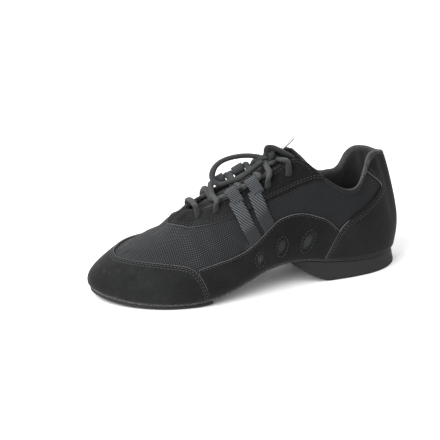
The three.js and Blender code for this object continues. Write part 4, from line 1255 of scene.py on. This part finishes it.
def makeStrap(side, which):
    top = webbing["tops"][which]
    centreAt = lambda up: smooth(webbing["rows"], webbing["columns"][which], up)
    across = np.linspace(-1, 1, webbing["across"])
    foot = smooth(mudEdge, 1, centreAt(0.3) + across * strapHalf) + seamUp * 1.8
    s = np.linspace(-0.045, 0.90, 46)[:, None]
    up = foot + (top - foot) * s
    narrow = 1 - 0.11 * np.clip(s, 0, 1) ** 2
    way = centreAt(up) + across * strapHalf * narrow
    climb = np.clip((up - 0.44) / 0.075, 0, 1)
    height = overlay["low"] + (strapOver - overlay["low"]) * climb**2 * (3 - 2 * climb)
    tuck = np.clip((foot + 0.006 - up) / 0.02, 0, 1)
    height = height + webbing["thick"] / 2 - tuck * 0.75
    flat = onLast(side, way, up, height)
    middle, direction = strapRing(side, which)
    strapLoops[(side, which)] = (middle, direction)
    upward = flat[-1].mean(0) - flat[-6].mean(0)
    upward -= direction * (upward @ direction)
    upward /= np.linalg.norm(upward)
    out = np.cross(direction, upward)
    away = [onLast(side, centreAt(top), top, rise, soft=0) for rise in (0, 5)]
    if out @ (away[1] - away[0]) < 0:
        out = -out
    r = webbing["bore"] / 2 + webbing["thick"] / 2
    turn = np.linspace(radians(100), radians(-80), 15)
    loop = [(-9.5, -r + 1.5), (-6.5, -0.2), (-3.4, 2.2)] + [(r * cos(t), r * sin(t)) for t in turn]
    loop += [(-2.5, -r - 0.05), (-6.5, -r - 0.02), (-10.5, -r)]
    widths = across * webbing["loop"] / 2
    start = [((flat[-1].mean(0) - middle) @ upward, (flat[-1].mean(0) - middle) @ out)]
    path = curveThrough(start + loop, 3)[2:]
    ring = middle + path[:, None, :1] * upward + path[:, None, 1:2] * out
    ring = ring + widths[None, :, None] * direction
    rows = np.concatenate([flat, ring])
    alongRows = np.gradient(rows, axis=0)
    alongWide = np.gradient(rows, axis=1)
    normal = np.cross(alongRows, alongWide)
    normal /= np.linalg.norm(normal, axis=2)[..., None] + 1e-12
    spot = (10, 4)
    away = [onLast(side, way[spot], up[spot], height[spot] + rise) for rise in (0, 2)]
    if normal[spot] @ (away[1] - away[0]) < 0:
        normal = -normal
    rounding = (1 - 0.22 * np.abs(across) ** 8)[None, :, None]
    thick = webbing["thick"] / 2 * rounding
    upper, lower = rows + normal * thick, rows - normal * thick
    points, faces, _ = slab(upper, lower)
    v = lengthsAlong(rows[:, webbing["across"] // 2])
    u = across[None, :] * webbing["width"] / 2 * side
    uv = np.stack(np.broadcast_arrays(u, v[:, None]), -1).reshape(-1, 2)
    name = f"{which}_{'outer' if side > 0 else 'inner'}"
    meshPiece(f"webbing_{name}", points, faces, ["webbing"], np.vstack([uv, uv]), merge=0,
              nodes=[f"strap_{name}"])


for where in (1, -1):
    for which in ("front", "rear"):
        makeStrap(where, which)
print("sneaker: straps made")

# Lace
lace = {
    "width": 5.0,
    "flat": 0.78,
    "gap": 0.2,          # over the suede
    "rise": 1.5,         # higher where it bends over the throat's edge
    "edge": 0.9,
    "stop": 7.9,
    "tuck": 2.4,
    "deepTuck": 6.6,
    "pile": 1.9,         # two crossing strands lie this far over and under their middle
}
lace["over"] = overlay["low"] + overlay["thick"] + lace["gap"] + lace["width"] * lace["flat"] / 2
# where the strands cross the middle: way, and how deep under the closed form
middles = {
    "bar": (0.640, -4.2),
    "one": (0.583, 3.6),
    "two": (0.523, 5.2),
    "three": (0.471, 6.9),
    "four": (0.434, 5.9),
    "top": (0.405, 8.3),
    "knot": (0.4235, 3.0),
}


# direction away from the foot's middle line, which a flat lace turns its back to
def outwardAt(points):
    x = points[:, 0] + last["heelBack"]
    middle = np.stack([points[:, 0], ridgeSide(x), section(1, x) * last["instep"] * 0.35], -1)
    out = points - middle
    return out / np.linalg.norm(out, axis=1)[:, None]


# an oval cord along points: its path, corners, faces and chart
def tube(points, step=0.8, around=18, taper=None, width=None, flat=None, settle=0.3):
    path = evenly(curveThrough(points, 14), step)
    tangents = np.gradient(path, axis=0)
    tangents /= np.linalg.norm(tangents, axis=1)[:, None]
    outward = outwardAt(path)
    s = lengthsAlong(path)
    radius = (width or lace["width"]) / 2
    flat = flat or lace["flat"]
    ring = np.linspace(0, 2 * pi, around, endpoint=False)
    back = outward[0]
    rings = []
    for k in range(len(path)):
        want = outward[k] - tangents[k] * (outward[k] @ tangents[k])
        back = back * (1 - settle) + want * settle
        back = back - tangents[k] * (back @ tangents[k])
        back /= np.linalg.norm(back) + 1e-12
        side = np.cross(tangents[k], back)
        size = radius if taper is None else radius * float(np.interp(s[k] / s[-1], taper[0], taper[1]))
        rings.append(path[k] + size * (np.cos(ring)[:, None] * side + flat * np.sin(ring)[:, None] * back))
    corners = np.vstack(rings)
    uvs = np.stack(np.broadcast_arrays(s[:, None], ring[None, :] / (2 * pi)), -1).reshape(-1, 2)
    return path, corners, tubeFaces(len(path), around), uvs


def joinTubes(name, runs, nodes=(), look="lace", **shape):
    allPoints, allFaces, allUvs = [], [], []
    base = 0
    for run in runs:
        _, points, faces, uvs = tube(run, **shape)
        allPoints.append(points)
        allFaces += [tuple(i + base for i in face) for face in faces]
        allUvs.append(uvs)
        base += len(points)
    return meshPiece(name, np.vstack(allPoints), allFaces, [look], np.vstack(allUvs), merge=0,
                     nodes=nodes)


# a lace's way up out of an eyelet, leaning toward a way and height
def throughEye(side, eye, toward):
    way, up = eyelets[eye]
    return [onLast(side, way, up, -2.0), onLast(side, way, up, 0.9),
            onLast(side, way + toward[0] * 0.45, up + toward[1] * 0.45, lace["over"] * 0.82),
            onLast(side, way + toward[0], up + toward[1], lace["over"])]


def overRim(side, way, extra=0.0):
    up = np.minimum(rimUp(way) - lace["edge"] / last["instep"], 0.99)
    return onLast(side, way, up, lace["over"] + extra)


def overMiddle(name, pile=0.0):
    way, dip = middles[name]
    return onLast(1.0, way, 1.0, pile - dip)


def underRim(side, way, tuck=None):
    height = lace["width"] * lace["flat"] / 2 - (tuck or lace["tuck"])
    return onLast(side, way, rimUp(way) + lace["stop"] / last["instep"], height)


def throughLoop(side, which):
    middle, direction = strapLoops[(side, which)]
    toToe = direction * np.sign(direction[0])
    mouth, clear = webbing["loop"] / 2 + 0.3, webbing["loop"] / 2 + 2.3
    lift = (0, 0, 0.7)
    return [middle + toToe * clear + lift, middle + toToe * mouth, middle, middle - toToe * mouth,
            middle - toToe * clear + lift]


def makeLaces():
    bar = throughEye(1, "first", (0.001, 0.05))
    bar += [overRim(1, eyelets["first"][0]), overMiddle("bar"), overRim(-1, eyelets["first"][0])]
    bar += throughEye(-1, "first", (0.001, 0.05))[::-1]
    joinTubes("lace_toe_bar", [bar], nodes=["lace_bar"])
    rise, pile = lace["rise"], lace["pile"]
    runs = []
    for s in (1, -1):
        run = throughEye(s, "second", (-0.001, 0.035))
        run += [overRim(s, 0.590, rise), overMiddle("one", pile * s)]
        run += throughLoop(-s, "front")
        run.append(overMiddle("two", -pile * s))
        run += throughLoop(s, "rear")
        run += [overMiddle("three", pile * s), underRim(-s, 0.468)]
        runs.append(run)
    joinTubes("lace_crossed", runs, nodes=["lace_cross_1", "lace_cross_2", "lace_cross_3"])
    runs = []
    for s in (1, -1):
        run = throughEye(s, "third", (-0.001, 0.04))
        run += [overRim(s, 0.446, rise), overMiddle("four", pile * s * 0.8)]
        runs.append(run + [underRim(-s, 0.420)])
    top = throughEye(1, "fourth", (0.001, 0.045)) + [overRim(1, 0.394, rise), overMiddle("top")]
    top += [underRim(-1, 0.400, lace["deepTuck"])]
    joinTubes("lace_top", runs + [top], nodes=["lace_cross_4", "lace_top_bar"])


# places of each run from the knot's middle
bow = {
    "front": [(3.9, -3.1, -0.8), (7.9, -6.4, -0.7), (13.4, -9.6, -0.5), (20.1, -12.1, -0.9),
              (27.9, -13.8, -2.2), (35.2, -14.4, -4.6), (40.9, -13.6, -8.7), (43.8, -11.4, -14.2),
              (43.5, -7.1, -18.0), (39.6, -2.0, -18.6), (34.2, 3.2, -15.2), (27.0, 4.9, -13.0),
              (19.2, 4.3, -8.9), (12.1, 3.2, -4.7), (6.7, 2.6, -1.8)],
    "rear": [(1.6, 0.3, 2.6), (2.7, 0.5, 5.8), (1.4, 1.0, 8.4), (-1.7, 1.8, 8.9), (-5.6, 2.8, 7.3),
             (-10.1, 3.6, 4.4), (-14.6, 4.0, 1.6), (-17.9, 3.0, -1.1), (-18.6, 0.7, -1.9),
             (-16.4, -1.0, -0.6), (-12.7, -1.7, 2.1), (-8.5, -1.9, 4.8), (-4.5, -2.4, 5.9),
             (-1.5, -2.2, 3.6)],
    "end": [(-1.6, -4.7, 1.3), (-4.8, -6.7, 1.8), (-8.6, -7.0, 2.0), (-12.8, -6.5, 2.5)],
    "lean": (-8.0, 0.0, 6.6),
    "aglet": 12,
    "agletWidth": 2.6,
}


def makeBow():
    centre = overMiddle("knot")
    exitAt = tuple((centre * mm).tolist())
    ends = np.array(bow["end"], float)
    lean = np.array(bow["lean"]) / np.linalg.norm(bow["lean"])
    tip = [centre + ends[-1] + lean * t for t in (-0.6, bow["aglet"] * 0.5 + 1.4, bow["aglet"] + 1.4)]
    _, points, faces, uvs = tube(tip, step=1.5, width=bow["agletWidth"], flat=1.0,
                                 taper=([0, 0.1, 0.9, 1], [1.05, 1.0, 0.92, 0.8]))
    aglet = meshPiece("clear_aglet", points, faces, ["aglet"], uvs, merge=0, nodes=["aglet"])
    front = np.vstack([centre + np.array(bow["front"], float)[::-1], centre + ends])
    thin = ([0, 0.97, 1], [1, 1, 0.6])
    path, points, faces, uvs = tube(front, taper=thin)
    loop = meshPiece("bow_front_loop", points, faces, ["bow"], uvs, merge=0,
                     nodes=["lace_loop_front", "lace_end"])
    (path * mm).tolist()
    path, points, faces, uvs = tube(centre + np.array(bow["rear"], float))
    loop = meshPiece("bow_rear_loop", points, faces, ["bow"], uvs, merge=0,
                     nodes=["lace_loop_rear"])
    (path * mm).tolist()
    turns = np.linspace(0, 2 * pi * 1.35, 18)
    wrap = [centre + (2.6 * sin(t * 0.5) - 1.2, 4.2 * cos(t), 3.6 * sin(t) + 0.4) for t in turns]
    under = [centre + p for p in ((8, -3, -2), (4, -1, -1), (0, 1, 0.5), (-4, 1.5, -0.5), (-7, 3, -2.5))]
    joinTubes("bow_knot", [wrap, under], nodes=["lace_knot"], look="bow", width=4.3)


makeLaces()
makeBow()
print("sneaker: lace made")

# Collar, tongue and footbed
collar = {
    "front": 0.345,
    "bandWay": 0.185,    # the stippled band ends here
    "outsideRows": 14,   # rows of the ring that show outside
    "columns": 96,
    "depth": 31,
    "length": 85,
}


def makeCollar():
    ways = np.linspace(0, collar["front"], collar["columns"])
    side, way = sides(ways, "heel")
    rim = rimUp(way, side)
    thin = np.clip((collar["front"] - way) / 0.05 + 0.3, 0, 1)
    out = last["wall"] + last["seat"]
    profile = [
        (-2.7, 0.35), (-2.2, 1.15), (-1.0, 1.55), (0.5, 1.25), (1.1, 0.2), (1.4, -1.4), (1.3, -3.0),
        (0.7, -4.6), (-0.4, -5.9), (-3.0, -6.6), (-7.0, -6.8), (-12.0, -6.5), (-18.0, -5.8), (-24.0, -4.4),
        (-29.0, -2.9), (-31.0, -out), (-20.0, -out), (-10.0, -out), (-1.0, -out), (0.6, -0.9), (0.2, 0.15),
        (-1.2, 0.2),
    ]
    rings = curveThrough([np.array(p) for p in profile], 3, closed=True)
    rise, offset = rings[:, 0], rings[:, 1]
    depth = collar["depth"]
    depthLow = np.minimum(depth, fromRidge(side, way, 0.08) - fromRidge(side, way, rim))
    rise = rise[:, None] * np.where(rise[:, None] < -1, (depthLow / depth)[None, :], 1.0)
    offset = offset[:, None]
    offset = np.where(offset < -out, -out + (offset + out) * thin[None, :], offset)
    offset = np.where(offset > 0.3, 0.3 + (offset - 0.3) * np.clip((0.338 - way) / 0.02, 0, 1), offset)
    up = heightAbove(side, way, np.broadcast_to(rim, rise.shape), rise)
    points = onLast(side, way, up, offset)
    rows, columns = up.shape
    flip = points.transpose(1, 0, 2)
    faces = tubeFaces(columns, rows)
    uvs = np.stack([np.broadcast_to(lengthsAlong(points[10])[None, :], up.shape),
                    np.broadcast_to(np.linspace(0, collar["length"], rows)[:, None], up.shape)], -1)
    uvs = uvs.transpose(1, 0, 2)
    outside = np.arange(rows)[None, :] < collar["outsideRows"]
    atBack = ((way[:-1] < collar["bandWay"]) & (way[1:] < collar["bandWay"]))[:, None]
    band = np.where(outside, np.where(atBack, 1, 2), 0).ravel()
    looks = np.concatenate([band, [0, 0]])
    piece = meshPiece("collar_padding", flip.reshape(-1, 3), faces, ["lining", "band", "mesh"],
                      uvs.reshape(-1, 2), looks, merge=0, nodes=["collar_lining"])


# way from its top to its toe end, side edge on the section, where it starts to sag, and how deep
tongueRows = [
    (0.376, 0.920, 0.580, 1.35), (0.384, 0.800, 0.580, 1.36), (0.400, 0.735, 0.640, 1.36),
    (0.430, 0.700, 0.690, 1.33), (0.470, 0.685, 0.685, 1.24), (0.520, 0.690, 0.690, 1.10),
    (0.570, 0.710, 0.710, 0.95), (0.620, 0.740, 0.740, 0.70), (0.655, 0.770, 0.770, 0.45),
    (0.690, 0.820, 0.820, 0.20),
]
tongue = {"thick": 2.8, "gap": 0.8, "sag": 8.0, "rows": 90}


def makeTongue():
    count = tongue["rows"]
    way = np.linspace(tongueRows[0][0], tongueRows[-1][0], count)[:, None]
    edge = smooth(tongueRows, 1, way)
    ride = np.linspace(0, 1, 26)
    half = edge + (1 - edge) * ride[None, :]
    start = smooth(tongueRows, 2, way)
    middle = np.clip((half - start) / (1 - start) * 1.5, 0, 1)
    sag = tongue["sag"] * smooth(tongueRows, 3, way) * middle**2 * (3 - 2 * middle)
    depth = last["wall"] + tongue["gap"] + sag
    up = np.concatenate([half, half[:, ::-1][:, 1:]], 1)
    depth = np.concatenate([depth, depth[:, ::-1][:, 1:]], 1)
    side = np.concatenate([np.ones(len(ride)), -np.ones(len(ride) - 1)])[None, :]
    nearEdge = np.minimum(np.arange(up.shape[1]), np.arange(up.shape[1])[::-1])[None, :]
    nearTop = np.minimum(np.arange(count), np.arange(count)[::-1])[:, None]
    edgeRound = 0.5 * np.exp(-(nearEdge / 1.2) ** 2) + 0.4 * np.exp(-(nearTop / 1.4) ** 2)
    channel = 0.35 * np.exp(-(((nearEdge - 5.0) / 0.8) ** 2))
    top = onLast(side, way, up, -depth - edgeRound - channel, soft=0)
    low = onLast(side, way, up, -depth - tongue["thick"] + edgeRound * 0.6, soft=0)
    points, faces, _ = slab(top, low)
    uv = np.stack(np.broadcast_arrays(way * 293, (up * 90) * side), -1).reshape(-1, 2)
    piece = meshPiece("padded_tongue", points, faces, ["tongue"], np.vstack([uv, uv]), merge=0.002,
                      nodes=["tongue"])
    rows = []
    for column in (5, up.shape[1] - 6):
        path = top[6:-4, column]
        normals = onLast(side[:, column], way[:, 0], up[:, column], 1, soft=0)
        normals = (normals - onLast(side[:, column], way[:, 0], up[:, column], 0, soft=0))[6:-4]
        rows.append((path, normals))
    stitches("tongue_stitches", rows)


# profile rows: share of the way out, margin outside the edge, level from foot (0) to top (1)
def soleBody(name, profile, first, final, count, top, foot, looks, lookRows, nodes):
    side, way = sides(np.linspace(first, final, count))
    whole = first <= 0 and final >= 1
    if whole:
        side, way = side[:-1], way[:-1]
    grids = []
    for share, margin, level in profile:
        height = lambda x, level=level: foot(x) + level * (top(x) - foot(x))
        grids.append(onSole(side, way, share, margin, height))
    points = np.array(grids)
    rows, columns = points.shape[:2]
    faces = [tuple(f) for f in gridFaces(rows, columns, wrap=whole)]
    index = np.repeat(np.array(lookRows[:rows - 1]), len(faces) // (rows - 1))
    if not whole:
        ringA = [r * columns for r in range(rows)]
        ringB = [r * columns + columns - 1 for r in range(rows)]
        faces.append(tuple(ringA[::-1] + ringB))
        index = np.concatenate([index, [lookRows[rows // 2]]])
    uvs = points[..., :2].reshape(-1, 2)
    return meshPiece(name, points.reshape(-1, 3), faces, looks, uvs, index, merge=0.003,
                     nodes=nodes)


def wayAt(x):
    share = (x / last["length"] - last["heelAt"]) / (last["toeAt"] - last["heelAt"])
    return last["heelPart"] + share * (last["toePart"] - last["heelPart"])


sole = {"lip": 0.6, "contact": 66, "breast": 32, "flare": 1.6, "padLength": 85, "inset": 2.6}


def makeSole():
    lip = sole["lip"]
    board = [(0, 0, 1), (0.3, 0, 1), (0.6, 0, 1), (0.85, 0, 1), (0.96, 0, 1), (1, lip - 0.5, 1),
             (1, lip - 0.12, 0.9), (1, lip, 0.68), (1, lip, 0.35), (1, lip * 0.7, 0.1),
             (1, lip * 0.5 - 0.4, 0), (0.96, 0, 0), (0.85, 0, 0), (0.6, 0, 0), (0.3, 0, 0), (0, 0, 0)]
    looks = [1] * 5 + [0] * 6 + [1] * 5
    soleBody("midsole_board", board, 0, 1, 180, lambda x: underside(x) + last["midsole"], underside,
             ["board", "cover"], looks, ["midsole"])
    inset = sole["inset"]
    bed = [(0, 0, 1), (0.4, 0, 1), (0.8, 0, 1), (1, -inset - 0.7, 1), (1, -inset - 0.15, 0.85),
           (1, -inset, 0.4), (1, -inset, 0), (0.5, 0, 0), (0, 0, 0)]
    soleBody("footbed", bed, 0, 1, 120, lambda x: featherEdge(x) + last["insole"], featherEdge, ["lining"],
             [0] * 9, ["insole"])
    barX = last["length"] - sole["padLength"]
    padTop = lambda x: underside(x) - last["seat"]
    padFoot = lambda x: spring(x) + 1.35 * np.exp(-(((x - barX) / 5.5) ** 2))
    pad = [(0, 0, 1), (0.5, 0, 1), (0.9, 0, 1), (1, lip * 0.5 - 0.4, 1), (1, lip * 0.5, 0.82),
           (1, lip * 0.45, 0.4), (1, lip * 0.2, 0.14), (1, -0.5, 0.0), (1, -5.6, 0.0), (1, -6.0, 0.12),
           (0.8, 0, 0.12), (0.4, 0, 0.12), (0, 0, 0.12)]
    padLooks = [0] * 9 + [1] * 4
    soleBody("forefoot_pad", pad, wayAt(barX), 1, 130, padTop, padFoot, ["rubber", "tread"], padLooks,
             ["outsole_forefoot"])
    breastX = sole["contact"] + sole["breast"]
    rise = float(underside(breastX)) - last["seat"] - 1

    def breastFoot(x):
        slope = np.clip((x - sole["contact"]) / sole["breast"], 0, 1)
        return rise * (0.55 * slope + 0.45 * slope * slope)

    flare = sole["flare"]
    block = [(0, 0, 1), (0.5, 0, 1), (0.9, 0, 1), (1, -0.7, 1), (1, -0.3, 0.93), (1, -0.1, 0.7),
             (1, 0.25, 0.62), (1, 0.0, 0.58), (1, 0.35, 0.54), (1, flare * 0.7, 0.25), (1, flare, 0.1),
             (1, flare - 0.1, 0.03), (1, flare - 0.6, 0), (1, -4.5, 0), (1, -5, 0.05), (0.6, 0, 0.05),
             (0, 0, 0.05)]
    blockLooks = [0] * 13 + [1] * 4
    soleBody("heel_block", block, 0, wayAt(breastX), 90, padTop, breastFoot, ["rubber", "tread"],
             blockLooks, ["heel"])


makeCollar()
makeTongue()
makeSole()
print("sneaker: collar, tongue and sole made")

# Floor, light and backdrop
light = {
    "world": 1.0,
    "floor": 0.92,
    "key": {"at": (0.84, 0.40, 0.80), "size": 0.9, "power": 21.0},
    "fill": {"at": (0.55, -1.10, 1.20), "size": 1.3, "power": 8.0},
}


def makeLights():
    scene = bpy.context.scene
    scene.view_settings.view_transform = "Standard"
    world = bpy.data.worlds.new("studio")
    world.use_nodes = True
    sky = world.node_tree.nodes["Background"]
    sky.inputs["Color"].default_value = (1, 1, 1, 1)
    sky.inputs["Strength"].default_value = light["world"]
    scene.world = world
    for name in ("key", "fill"):
        values = light[name]
        lamp = bpy.data.lights.new(name, "AREA")
        lamp.energy = values["power"]
        lamp.size = values["size"]
        holder = putInScene(name, lamp)
        holder.location = values["at"]
        aim = Vector((0.10, 0.0, 0.03)) - Vector(values["at"])
        holder.rotation_euler = aim.to_track_quat("-Z", "Y").to_euler()
    mesh = bpy.data.meshes.new("floor")
    reach = 6.0
    corners = [(-reach, -reach, 0), (reach, -reach, 0), (reach, reach, 0), (-reach, reach, 0)]
    mesh.from_pydata(corners, [], [(0, 1, 2, 3)])
    f = Finish("floor_paint", Roughness=0.6)
    f.set("Base Color", f.mix(f.noise(3, 2, 0.5), grey(light["floor"]), grey(light["floor"] * 0.985)))
    mesh.materials.append(f.material)
    putInScene("floor", mesh)


makeLights()
print("sneaker: stage set")
